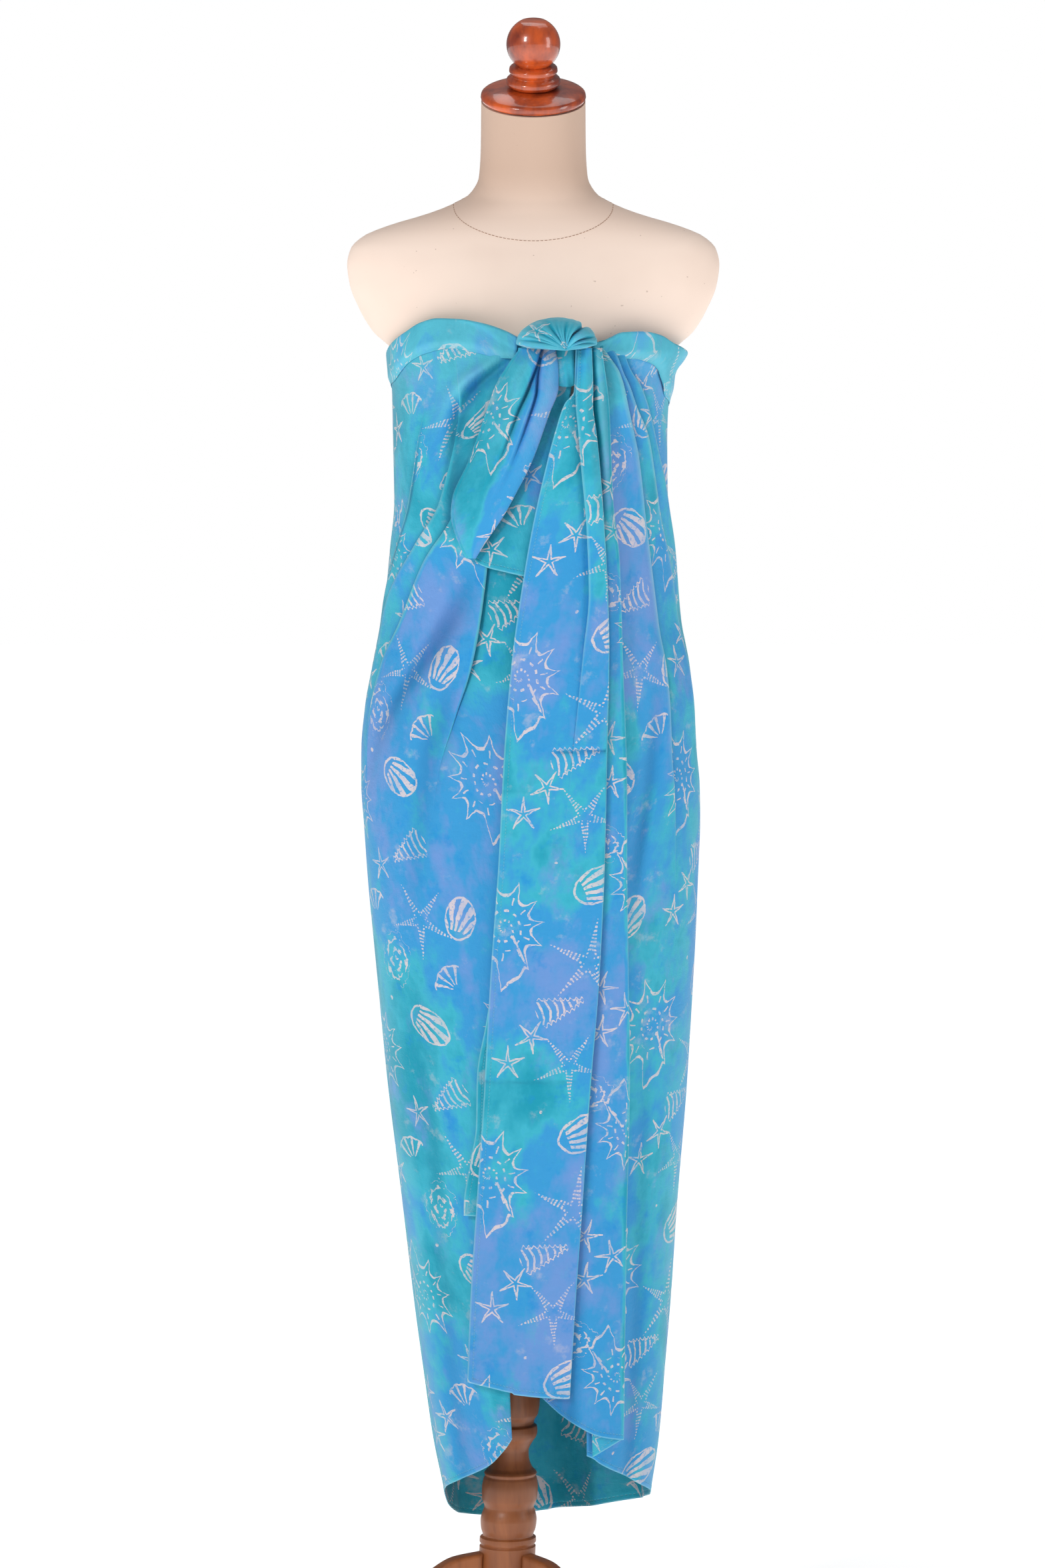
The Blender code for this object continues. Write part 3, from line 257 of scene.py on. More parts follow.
COLUMN = [
    (0.7874, 0.0), (0.7874, 0.0230), (0.700, 0.0230), (0.690, 0.0270), (0.680, 0.0230), (0.560, 0.0205),
    (0.440, 0.0215), (0.425, 0.0265), (0.410, 0.0215), (0.355, 0.0225), (0.320, 0.0258), (0.300, 0.0265),
    (0.289, 0.0252), (0.2815, 0.0216), (0.2790, 0.0216), (0.2770, 0.0246), (0.2710, 0.0253), (0.2660, 0.0243),
    (0.2620, 0.0216), (0.2515, 0.0173), (0.2440, 0.0180), (0.2350, 0.0215), (0.2290, 0.0264), (0.2265, 0.0254),
    (0.2240, 0.0266), (0.2140, 0.0281), (0.2030, 0.0275), (0.1950, 0.0249), (0.1880, 0.0270), (0.1820, 0.0282),
    (0.1730, 0.0274), (0.1660, 0.0252), (0.1640, 0.0281), (0.1600, 0.0284), (0.1565, 0.0266), (0.1550, 0.0282),
    (0.0720, 0.0282), (0.0640, 0.0262), (0.060, 0.0200), (0.060, 0.0),
]
LEG = Table(
    "r top under",
    (0.0270, 0.150, 0.074), (0.0550, 0.146, 0.078), (0.0850, 0.129, 0.070), (0.1200, 0.095, 0.048),
    (0.1500, 0.069, 0.026), (0.1800, 0.046, 0.009), (0.2050, 0.032, 0.000), (0.2300, 0.024, 0.000),
    (0.2500, 0.016, 0.000),
)
LEG_TURNS = (197.0, 317.0, 77.0)
LEAN = math.tan(math.radians(2.27))
LEAN_FROM = 0.80
CAP_TILT = math.radians(21.0)
FIT_GAP = 0.0003

# The body's three stretches meet at the sides. Their rows are packed closer beside a hem
SEAM_TURN = 100.0
ARC_STEPS = 60
HEM_LEVEL = 0.24
TOP_LEVEL = 1.36
RIM_ROWS = 8
RIM_SHARE = 0.011
HEM_PROUD = 0.0005
FAR_FROM_HEM = 0.05
# The cloth is pulled smooth towards the top edge, over these heights
PULLED_SMOOTH = 0.8
FRONT_SMOOTH = (1.24, 1.33)
BACK_SMOOTH = (1.20, 1.30)
# Folds: a sharp one's edge takes STEP_TURN degrees, and rises and overhangs in shares of its table's lift
STEP_TURN = 0.45
OVERHANG = 0.5
SHARP_RISE = 2.0
SOFT_RISE = 3.0
PLEAT_TAKES = 5.0
# Painted highlights on the edges of folds and painted shade in their valleys, in full where a fold lifts the cloth by
# PAINTED_LIGHT_LIFT
PAINTED_LIGHT_LIFT = 0.0035
PAINTED_HIGHLIGHT_AT = (0.8, 0.14)
SOFT_SHADE = 0.016
VALLEY_SHADE = 0.6
VALLEY_TURN = 2.6
VALLEY_REACH = 0.007
# Painted shade beside the tie roll, and a painted highlight over the cloth towards the top edge
TIE_SHADE = 0.5
TOP_PAINTED_HIGHLIGHT = 0.35
TOP_PAINTED_HIGHLIGHT_FROM = (1.25, 1.33)

# Folded top edge: its lower edge lies close, then it stands out and turns over inwards
BAND_OUT = 0.0038
BAND_LOW_OUT = 0.0012
BAND_HUG = 0.34
BAND_ROUND = 0.0019
BAND_TURN_FROM = 0.7
BAND_INNER_DROP = 0.006
BAND_LAYER = 0.0013
BAND_LAYER_EDGE = 0.0012
# Painted highlight over the folded top edge
BAND_PAINTED_HIGHLIGHT = 0.4

# Hanging ends and the tied corner
END_PUFF = 0.0060
PANEL_FOOT = (-0.0653, 0.0354)
PANEL_FRONT_SHARE = 0.68
PANEL_TURN = 0.0012
PANEL_UNDER = 0.009
PANEL_RISE = 1.5
PLEAT_HALF = 0.001
PANEL_PRINT = (0.045, 0.020)
STRIP_TURN = 0.0015
STRIP_TURN_SHARE = 0.4
STRIP_INNER_FOOT = 0.2640
STRIP_PRINT = (0.160, 0.075)
TAIL_FOOT = 0.505
TAIL_OUT = 0.0064
TAIL_PRINT = (0.71, 0.11)
TIE_OUT = 0.0098
TIE_PRINT = (0.33, 0.47)
ROLL_FOOT = 1.150
ROLL_BACK_OUT = 0.0118
ROLL_TURN = 0.0026
ROLL_TURN_SHARE = 2 / 3
ROLL_UNDER = 0.55
ROLL_PUFF = 1.9
ROLL_DEEPEST = 0.006
ROLL_WRINKLE = 0.0005
# Painted highlight on the roll's raised parts
ROLL_PAINTED_HIGHLIGHT = 0.45
ROLL_PRINT = (0.55, 0.21)
TOP_TUCK = 0.005
# Creases ironed across the panel: height, ends across it, depth
CREASE_FADE = 0.02
CREASE_BOW = 0.05
CREASE_WIDE = 0.0022
CREASE_DEEPEST = 0.0018
PANEL_CREASES = [(0.963, 0.030, 0.070, 0.0018), (0.925, -0.030, 0.010, 0.0006), (0.640, -0.050, 0.030, 0.0009)]
# Where the folded top edge has a second layer over it: its edge and how far it is there
TWIST_RIGHT = Table(
    "turn z share", (58, 1.290, 0), (66, 1.302, 1), (76, 1.322, 1), (88, 1.338, 1), (100, 1.341, 0),
)
TWIST_LEFT = Table(
    "turn z share", (-40, 1.384, 0), (-34, 1.381, 1), (-24, 1.375, 1), (-14, 1.360, 1), (-7, 1.350, 1),
)
# How the dye runs down the hanging ends: above 0 is bluer, below 0 greener
PANEL_TINT = Table(
    "z tint", (0.32, 0.8), (0.44, 0.9), (0.50, 0.5), (0.57, 0.2), (0.62, -0.7), (0.66, 0.2), (0.72, 0.8), (0.80, 0.3),
    (0.88, -0.3), (0.95, -0.5), (1.00, -0.2), (1.03, 0.5), (1.10, 0.7), (1.17, 0.0), (1.25, -0.5), (1.35, -0.7),
)
STRIP_TINT = Table(
    "z tint", (0.26, 0.5), (0.40, 0.5), (0.50, 0.3), (0.60, 0.4), (0.70, 0.7), (0.80, 0.4), (0.90, -0.2), (1.00, 0.2),
    (1.12, 0.5), (1.20, -0.3), (1.35, -0.8),
)

# The knot is a half ring of cloth over its hollow. Angles in radians: arc from its right end over the top to its
# left, roll from the pinch in the hollow forwards and over to the back
KNOT_AT = (0.0235, -0.1396)
KNOT_BOTTOM = END_TOP + 0.0040
KNOT_WIDE = 0.0400
KNOT_RISE = 0.0250
KNOT_DEEP = 0.0240
KNOT_ROLL = (math.radians(-84), math.radians(195))
KNOT_UNDER = 0.16
KNOT_TUCK = 0.25
KNOT_RIGHT_THIN = 0.06
KNOT_HOLLOW = 0.50
KNOT_PINCH = 0.0080
KNOT_SINK = 0.0065
KNOT_TWIST = 0.20
KNOT_FOLDED = 1.5
# Painted shade in the knot's creases, and a painted highlight over the rest of it
KNOT_SHADE = 0.0038
KNOT_PAINTED_HIGHLIGHT = 0.5
# Creases run in to the pinch and fade towards the outline, the one at KNOT_PARTING less: arc, width, depth
KNOT_FADE = (math.radians(5), math.radians(84))
KNOT_PARTING = (0.9, 0.3)
KNOT_PRINT = (0.205, 0.1)
KNOT_CREASES = [
    (0.22, 0.06, 0.0016), (0.48, 0.08, 0.0034), (0.98, 0.09, 0.0052), (1.24, 0.06, 0.0010), (1.42, 0.07, 0.0020),
    (1.58, 0.04, 0.0007), (1.71, 0.05, 0.0010), (1.90, 0.08, 0.0022), (2.16, 0.05, 0.0008), (2.34, 0.09, 0.0017),
    (2.62, 0.06, 0.0009), (2.82, 0.07, 0.0015),
]
LOOP_SIDES = (0.0205, 0.0425)
LOOP_FOOT = 1.3150
LOOP_FOOT_BOW = 0.003
LOOP_OUT = 0.0095
LOOP_PUFF = 0.0125
LOOP_WRINKLE = 0.0006
LOOP_PRINT = (0.9, 0.4)

# How the form and its stand are made
TORSO_SIDES = 150
TORSO_ROWS = 190
COLLAR_STITCHES = 120
COLLAR_STITCH_TURN = 1.0
COLLAR_PROUD = 0.0001
COLLAR_HALF = 0.0785
COLLAR_SIDE = 1.4955
COLLAR_FRONT_DROP = 0.039
COLLAR_BACK_RISE = 0.006
THREAD = 0.00035
TURNED_SIDES = 96
SAME_PLACE = 0.00002
LEG_THICK = 0.019
LEG_EDGE = 0.004
LEG_STEPS = 48
HEM_STITCH_AT = 0.0052

# Stage: the camera in the form's own place, a floor that glows more further out, and lights in watts
EYE = (-0.0106, -5.5, 1.35)
AIM = (-0.0106, 0.0, 0.921)
LENS_MM = 127.6
FRAME_MM = (24, 36)
SEEN_TO = 60
FLOOR_HALF = 20.0
FLOOR_DOWN = 0.0005
FLOOR_GLOW = (0.62, 0.95)
FLOOR_NEAR = (0.4, 1.8)
WORLD_GLOW = 0.17
LIGHT_AIM = (0, 0, 0.95)
LIGHTS = [
    ("key", (-2.3, -3.3, 2.9), (0.7, 1.3), 78),
    ("fill", (3.2, -1.4, 1.9), (1.0, 2.2), 30),
    ("top", (0.2, 0.4, 3.4), (2.0, 1.4), 12),
]


def mix(a, b, share):
    return a + (b - a) * share


def ease(low, high, at):
    """0 below low, 1 above high and a smooth rise between them."""
    t = np.clip((at - low) / (high - low), 0.0, 1.0)
    return t * t * (3 - 2 * t)


def bump_at(at, middle, width):
    return np.exp(-(((at - middle) / width) ** 2))


def signed_turn(turn):
    return np.where(turn > 180, turn - 360, turn)


def body_size(z):
    """Middle, half width, front depth and back depth of the wrap at each height."""
    left, right = GIRTH("left", z), GIRTH("right", z)
    return (left + right) / 2, (right - left) / 2, GIRTH("front", z), GIRTH("back", z)


def round_body(turn, z, out):
    """Points on the wrap at angles and heights."""
    middle, half, front, back = body_size(z)
    side, ahead = np.sin(np.radians(turn)), np.cos(np.radians(turn))
    depth = np.where(ahead > 0, front, back)
    return np.stack([middle + (half + out) * side, -(depth + out) * ahead, z], axis=1)


def over_front(x, z, out):
    """Points in front of the wrap, straight ahead of places across it."""
    middle, half, front, _ = body_size(z)
    side = np.clip((x - middle) / (half + out), -1.0, 1.0)
    return np.stack([x, -(front + out) * np.sqrt(1 - side * side), z], axis=1)


def around_body(turn, z):
    """Length of cloth from centre back round to an angle, negative on the viewer's right."""
    _, half, front, back = body_size(z)
    around = signed_turn(turn)
    start = np.abs(around)
    step = np.radians(180 - start) / ARC_STEPS
    length = np.zeros_like(z)
    for k in range(ARC_STEPS):
        angle = np.radians(start) + step * (k + 0.5)
        depth = np.where(np.cos(angle) > 0, front, back)
        length += np.hypot(half * np.cos(angle), depth * np.sin(angle)) * step
    return np.where(around < 0, length, -length)


def ripple(u, v):
    """Gentle unevenness of hanging cloth, about 1 high and low."""
    slow = np.sin(u * 61 + 0.9 * np.sin(v * 7.3)) * 0.45 + np.sin(u * 103 + v * 5.1 + 1.7) * 0.25
    return slow + np.sin(u * 37 - v * 17 + 0.6) * 0.2 + np.sin(u * 29 + v * 43) * 0.1


def cells(across, counts):
    """Which stretch of a row of columns each place is in, and how far along it."""
    ends = np.cumsum([0, *counts])
    place = across * ends[-1]
    zone = np.clip(np.searchsorted(ends, place + 1e-6, "right") - 1, 0, len(counts) - 1)
    return zone, (place - ends[zone]) / np.array(counts)[zone]


def crowded(share, rows, rim_rows, rim_share):
    """Rows packed closer beside a hem, where the stitched fold needs them."""
    return np.interp(share * rows, [0, rim_rows, rows], [0, rim_share, 1])


def folds_lift(folds, turn, z, zone, share):
    """What the folds do to the cloth: how far they raise it and shift it sideways, how much cloth they take up,
    and where painted highlights on their edges (above 0) and painted shade in their valleys (below 0) run."""
    raised, shift, taken, crest = (np.zeros_like(z) for _ in range(4))
    sharp = 0
    for one in folds:
        middle, height = one.line("turn", z), one.line("lift", z)
        away = np.exp(-(((turn - middle) / one.reach_deg) ** 2))
        if one.low is None:
            raised += SOFT_RISE * height * away
            # Painted highlight where a soft fold rises, painted shade where it sinks
            crest += SOFT_RISE * height * away / SOFT_SHADE
            continue
        height = SHARP_RISE * height
        edge = 2 * sharp + 1
        inside = zone == edge
        if one.low == "left":
            own = np.where(inside, ease(0, 1, share), zone > edge)
        else:
            own = np.where(inside, ease(0, 1, 1 - share), zone < edge)
        raised += height * np.where(inside, own, own * away)
        shift += np.where(inside, OVERHANG * height * np.sin(math.tau * share), 0.0)
        taken += PLEAT_TAKES * own * height * (1 if one.low == "left" else -1)
        # Painted shade on the low side beside a sharp fold's edge, painted highlight on the edge itself
        beside = (turn < middle if one.low == "left" else turn > middle) & ~inside
        crest -= VALLEY_SHADE * beside * np.exp(-np.abs(turn - middle) / VALLEY_TURN) * height / PAINTED_LIGHT_LIFT
        crest += bump_at(own, *PAINTED_HIGHLIGHT_AT) * inside * height / PAINTED_LIGHT_LIFT
        sharp += 1
    return raised, shift, taken, np.clip(crest, -1, 1)


def sharp_lines(folds, z):
    """The angles just off each sharp fold's edge and on it, from left to right."""
    lines = []
    for one in folds:
        turn = one.line("turn", z)
        lines += [turn - STEP_TURN, turn] if one.low == "left" else [turn, turn + STEP_TURN]
    return lines


def grid(columns, rows):
    """A bmesh grid, with the place across and up it of each vertex, from 0 to 1."""
    bm = bmesh.new()
    bmesh.ops.create_grid(bm, x_segments=columns, y_segments=rows, size=0.5)
    flat = np.array([vert.co for vert in bm.verts])
    return bm, np.clip(flat[:, 0] + 0.5, 0, 1), np.clip(flat[:, 1] + 0.5, 0, 1)


def move_verts(bm, places):
    for vert, place in zip(bm.verts, places):
        vert.co = place


def piece(name, bm, look, sharp_deg=None):
    """An object from a bmesh in the form's own place, smooth but for edges sharper than sharp_deg."""
    mesh = bpy.data.meshes.new(name)
    bm.to_mesh(mesh)
    bm.free()
    mesh.transform(Matrix.Translation(FORM_PLACE))
    mesh.materials.append(look)
    mesh.shade_smooth()
    if sharp_deg is not None:
        mesh.set_sharp_from_angle(angle=math.radians(sharp_deg))
    made = bpy.data.objects.new(name, mesh)
    bpy.context.scene.collection.objects.link(made)
    return made


def stand_in(made, nodes):
    """The piece rides on the part and replaces its solids."""
    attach(made, BODY)
    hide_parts(*nodes)


def no_rim(z):
    """A rim map for cloth with no hem near."""
    return np.full((len(z), 2), FAR_FROM_HEM)


def add_map(mesh, name, values):
    """A UV map with one pair of values for each vertex."""
    corners = np.zeros(len(mesh.loops), dtype=np.int32)
    mesh.loops.foreach_get("vertex_index", corners)
    mesh.uv_layers.new(name=name).data.foreach_set("uv", values[corners].ravel())


def cloth(name, nodes, columns, rows, point):
    """A stretch of the cloth: a grid laid over point(across, up), given its wall.

    point gives the places, the print and rim maps, the tint of the dye, and the painted highlights (above 0) and
    painted shade (below 0) on the cloth.
    """
    sizes = bpy.context.scene.sarong_sizes
    bm, across, up = grid(columns, rows)
    places, print_map, rim_map, tint, crest = point(across, up)
    move_verts(bm, places)
    made = piece(name, bm, batik_look())
    add_map(made.data, "print", print_map)
    add_map(made.data, "rim", rim_map)
    # The crest attribute carries painted highlights (above 0) and painted shade (below 0)
    for key, values in (("tint", tint), ("crest", crest)):
        layer = made.data.attributes.new(key, "FLOAT", "POINT")
        layer.data.foreach_set("value", np.broadcast_to(values, len(across)).astype(np.float32))
    wall = made.modifiers.new("wall", "SOLIDIFY")
    wall.thickness = sizes.wall
    wall.offset = 0.0
    stand_in(made, nodes)


def hem_roll(distance, width, height):
    """How far a narrow stitched hem stands proud at a distance from its edge."""
    return height * (1 - ease(width * 0.8, width * 1.15, distance))


def make_wrap():
    """Left front, right front and back."""
    sizes = bpy.context.scene.sarong_sizes

    def front_point(folds, soft, start, end, counts, rows, tint):
        def point(across, up):
            zone, share = cells(across, counts)

            def turn_at(z):
                lines = np.stack([start(z), *sharp_lines(folds, z), end(z)])
                column = np.arange(len(z))
                return mix(lines[zone, column], lines[zone + 1, column], share)
            hem = EDGE("hem", turn_at(np.full_like(up, HEM_LEVEL)))
            top = EDGE("top", turn_at(np.full_like(up, TOP_LEVEL)))
            z = mix(hem, top, crowded(up, rows, RIM_ROWS, RIM_SHARE))
            turn = turn_at(z)
            raised, shift, taken, crest = folds_lift(folds + soft, turn, z, zone, share)
            u = around_body(turn, z)
            settle = 1 - PULLED_SMOOTH * ease(*FRONT_SMOOTH, z)
            raised += sizes.ripple * ripple(u, z) * settle + hem_roll(z - hem, sizes.hem, HEM_PROUD)
            half = body_size(z)[1]
            places = round_body(turn + np.degrees(shift / half), z, raised)
            radians = np.radians(turn)
            places[:, 0] -= raised * np.sin(radians) * np.sqrt(np.maximum(np.cos(radians), 0))
            # Painted shade on the cloth just left of the tie roll, and a painted highlight towards the top edge
            beside = TIE_ROLL("left", z) - places[:, 0]
            shaded = (beside > 0) * ease(1.15, 1.19, z) * ease(1.345, 1.325, z)
            crest = crest - TIE_SHADE * np.exp(-beside / VALLEY_REACH) * shaded
            crest = crest + TOP_PAINTED_HIGHLIGHT * ease(*TOP_PAINTED_HIGHLIGHT_FROM, z) * (crest > -0.2)
            return places, np.stack([u + taken, z], axis=1), np.stack([u, z - hem], axis=1), tint(zone, z), crest
        return point

    def left_tint(zone, z):
        high = ease(1.13, 1.25, z)
        middle = ease(0.84, 0.94, z) * (1 - ease(1.08, 1.20, z))
        hanging = 1 - ease(0.55, 0.90, z)
        by_zone = np.select([zone < 6, zone == 6], [-0.35 - 0.35 * high, 0.75 * middle - 0.8 * high],
                            0.75 * middle * (1 - ease(0.93, 1.06, z)) - 0.9 * ease(0.93, 1.06, z))
        return by_zone - 0.15 * hanging

    def right_tint(zone, z):
        high = ease(1.24, 1.33, z)
        middle = ease(0.92, 1.04, z) * (1 - high)
        by_zone = np.select([zone <= 1, zone <= 3, zone <= 5],
                            [0.75 * middle - 0.6 * high, -0.35 * middle, -0.6 * middle],
                            0.6 * ease(1.10, 1.22, z) - 0.4 * ease(0.9, 1.0, z))
        return by_zone - 0.1 * (1 - ease(0.5, 0.8, z))

    rows = 350
    counts = [22, 6, 10, 6, 10, 6, 24, 6, 20]
    cloth("left_front_cloth", ["left_front"], sum(counts), rows,
          front_point(LEFT_DRAGS, LEFT_SOFT, lambda z: np.full_like(z, -SEAM_TURN), lambda z: INNER("left", z),
                      counts, rows, left_tint))
    counts = [30, 6, 12, 6, 12, 6, 26]
    cloth("right_front_cloth", ["right_front"], sum(counts), rows,
          front_point(RIGHT_PLEATS, RIGHT_SOFT, lambda z: INNER("right", z), lambda z: np.full_like(z, SEAM_TURN),
                      counts, rows, right_tint))

    def back_point(across, up):
        turn = mix(SEAM_TURN, 360 - SEAM_TURN, across)
        around = signed_turn(turn)
        hem = EDGE("hem", around)
        z = mix(hem, EDGE("top", around), crowded(up, rows, RIM_ROWS, RIM_SHARE))
        raised = folds_lift(BACK_SOFT, turn, z, None, None)[0]
        u = around_body(turn, z)
        raised += sizes.ripple * ripple(u, z) * (1 - PULLED_SMOOTH * ease(*BACK_SMOOTH, z))
        raised += hem_roll(z - hem, sizes.hem, HEM_PROUD)
        tint = -0.8 * ease(0.42, 0.30, z)
        return round_body(turn, z, raised), np.stack([u, z], axis=1), np.stack([u, z - hem], axis=1), tint, 0.0
    rows = 300
    cloth("back_cloth", ["back"], 120, rows, back_point)


def make_band(name, start, end, twist, columns):
    """One stretch of the top edge, folded over outwards: up inside, over the top and down to its lower edge."""
    sizes = bpy.context.scene.sarong_sizes

    def point(across, up):
        turn = mix(start, end, across)
        around = signed_turn(turn)
        low, top = BAND("low", around), EDGE("top", around)
        over = ease(BAND_TURN_FROM, 1, up)
        down = np.clip(up / BAND_TURN_FROM, 0, 1)
        z = mix(low, top - BAND_ROUND, down) + BAND_ROUND * np.sin(math.pi * over)
        hug = ease(0, BAND_HUG, down)
        out = mix(BAND_LOW_OUT, BAND_OUT, hug) - BAND_ROUND * (1 - np.cos(math.pi * over))
        z = z - np.where(up > BAND_TURN_FROM, BAND_INNER_DROP * ease(0.5, 1, over), 0)
        u = around_body(turn, z)
        if twist is not None:
            layer = ease(-BAND_LAYER_EDGE, BAND_LAYER_EDGE, z - twist("z", turn)) * twist("share", turn)
            out = out + BAND_LAYER * layer
        out = out + 0.3 * sizes.ripple * ripple(u, z) * (1 - over)
        places = round_body(turn, z, out)
        print_map = np.stack([u, 2 * top - z], axis=1)
        # Painted highlight over the whole folded edge, most just above its lower edge
        crest = BAND_PAINTED_HIGHLIGHT + 0.3 * bump_at(down, 0.16, 0.12)
        return places, print_map, no_rim(z), -0.6, crest
    cloth(name + "_cloth", [name], columns, 24, point)


def folded_edge(x, out, turn, side, over, turn_share, share):
    """Points on a folded edge at x whose outer layer lies at out, turning back under itself by "over".

    share runs from 0 on the outer layer, through the turn up to turn_share, to 1 at the end of the layer under it.
    """
    angle = math.pi * np.clip(share / turn_share, 0, 1)
    back = np.clip((share - turn_share) / (1 - turn_share), 0, 1)
    across = x + side * (turn * (np.sin(angle) - 1) - (over - turn) * back)
    return across, out - turn + turn * np.cos(angle), turn * angle + over * back


def make_panel():
    """The long end that hangs down the front, with one pleat that dies out towards the hem."""
    sizes = bpy.context.scene.sarong_sizes
    rows, counts = 360, [16, 5, 18, 16]

    def point(across, up):
        zone, share = cells(across, counts)
        foot_x = np.interp(across / PANEL_FRONT_SHARE, [0, 1], PANEL_FOOT)
        hem = PANEL_HEM("z", foot_x)
        z = mix(hem, END_TOP, crowded(up, rows, RIM_ROWS, RIM_SHARE))
        left, right = PANEL("left", z), PANEL("right", z)
        pleat = np.clip(PANEL("pleat", z), left + 0.003, right - 0.006)
        raised = PANEL_RISE * PANEL("pleat_lift", z)
        step = raised * ease(0, 1, share)
        x = np.select([zone == 0, zone == 1, zone == 2],
                      [mix(left, pleat - PLEAT_HALF, share),
                       pleat + PLEAT_HALF * (2 * share - 1) + OVERHANG * raised * np.sin(math.tau * share),
                       mix(pleat + PLEAT_HALF, right - PANEL_TURN, share)], right)
        extra = np.select([zone == 0, zone == 1], [0 * z, step], raised)
        out = mix(PANEL("left_out", z), PANEL("right_out", z), np.clip((x - left) / (right - left), 0, 1)) + extra
        out = out + END_PUFF * ease(1.12, 1.31, z) * np.sin(math.pi * share) * (zone == 2)
        turned_x, turned_out, past = folded_edge(right, PANEL("right_out", z) + raised, PANEL_TURN, 1, PANEL_UNDER,
                                                 0.5, share)
        under = zone == 3
        u = np.where(under, right - left + past, x - left)
        x, out = np.where(under, turned_x, x), np.where(under, turned_out, out)
        hang, creased = 1 - ease(1.15, 1.30, z), 0.0
        out = out + 0.8 * sizes.ripple * (ripple(u * 1.3 + 0.4, z) - ripple(0.4, z)) * hang
        for height, start, end, depth in PANEL_CREASES:
            along = ease(start - CREASE_FADE, start, x) * (1 - ease(end, end + CREASE_FADE, x))
            gully = bump_at(z, height + CREASE_BOW * (x - start) ** 2, CREASE_WIDE) * along * ~under
            out = out - depth * gully
            creased = creased + depth / CREASE_DEEPEST * gully
        out = out + hem_roll(np.minimum(z - hem, np.where(under, 1.0, u)), sizes.hem, HEM_PROUD)
        rim = np.where(z - hem < u, z - hem, u)
        print_map = np.stack([u + PANEL_PRINT[0], z + PANEL_PRINT[1]], axis=1)
        rim_map = np.stack([np.where(z - hem < u, u, z), rim], axis=1)
        # Painted highlights on the pleat's edge and the turned edge, painted shade beside the pleat and in the ironed
        # creases
        crest = bump_at(share, 0.78, 0.16) * (zone == 1) * raised / PAINTED_LIGHT_LIFT
        crest = crest + bump_at(share, 0.22, 0.12) * under
        crest = crest - VALLEY_SHADE * (zone == 0) * np.exp((x - pleat) / VALLEY_REACH) * raised / PAINTED_LIGHT_LIFT
        crest = np.clip(crest - 0.8 * creased, -1, 1)
        return over_front(x, z, out), print_map, rim_map, PANEL_TINT("tint", z) - 0.5 * under, crest
    cloth("front_panel_cloth", ["front_panel"], sum(counts), rows, point)


def make_strip():
    """The folded strip behind the panel, at its right."""
    sizes = bpy.context.scene.sarong_sizes
    rows, counts = 340, [20, 14, 14]

    def point(across, up):
        zone, share = cells(across, counts)
        ahead = zone == 0
        (first_x, _), (last_x, last_z) = STRIP_HEM.rows[0], STRIP_HEM.rows[-1]
        foot = np.where(ahead, STRIP_HEM("z", mix(first_x, last_x, share)), last_z)
        foot = np.where(zone == 2, mix(last_z, STRIP_INNER_FOOT, share), foot)
        z = mix(foot, END_TOP, crowded(up, rows, RIM_ROWS, RIM_SHARE))
        left, right, back, out = (STRIP(name, z) for name in ("left", "right", "back", "out"))
        flat_x = mix(left, right - STRIP_TURN, share)
        past = np.where(zone == 1, STRIP_TURN_SHARE * share, mix(STRIP_TURN_SHARE, 1, share))
        turned_x, turned_out, length = folded_edge(right, out, STRIP_TURN, 1, right - back, STRIP_TURN_SHARE, past)
        x, out = np.where(ahead, flat_x, turned_x), np.where(ahead, out, turned_out)
        u = np.where(ahead, flat_x - left, right - left + length)
        shown = np.clip((x - PANEL("right", z)) / (right - PANEL("right", z)), 0, 1)
        out = out + END_PUFF * ease(1.12, 1.30, z) * np.sin(math.pi * shown) * ahead
        wave = ripple(u * 1.2 + 0.9, z) - ripple(right - left + 0.9, z)
        out = out + 0.6 * sizes.ripple * wave * ahead
        out = out + hem_roll(z - foot, sizes.hem, HEM_PROUD) * ahead
        print_map = np.stack([u + STRIP_PRINT[0], z + STRIP_PRINT[1]], axis=1)
        # Painted highlights on the turned edge and the puffed middle, painted shade where the strip comes out from
        # behind the panel
        crest = bump_at(share, 0.5, 0.25) * (zone == 1) - 0.7 * ahead * bump_at(shown, 0, 0.2)
        crest = crest + 0.6 * ahead * bump_at(shown, 0.55, 0.25) * ease(1.15, 1.28, z)
        tint = STRIP_TINT("tint", z) - 0.9 * ~ahead
        return over_front(x, z, out), print_map, np.stack([u, z - foot], axis=1), tint, crest
    cloth("front_pleat_cloth", ["front_pleat"], sum(counts), rows, point)


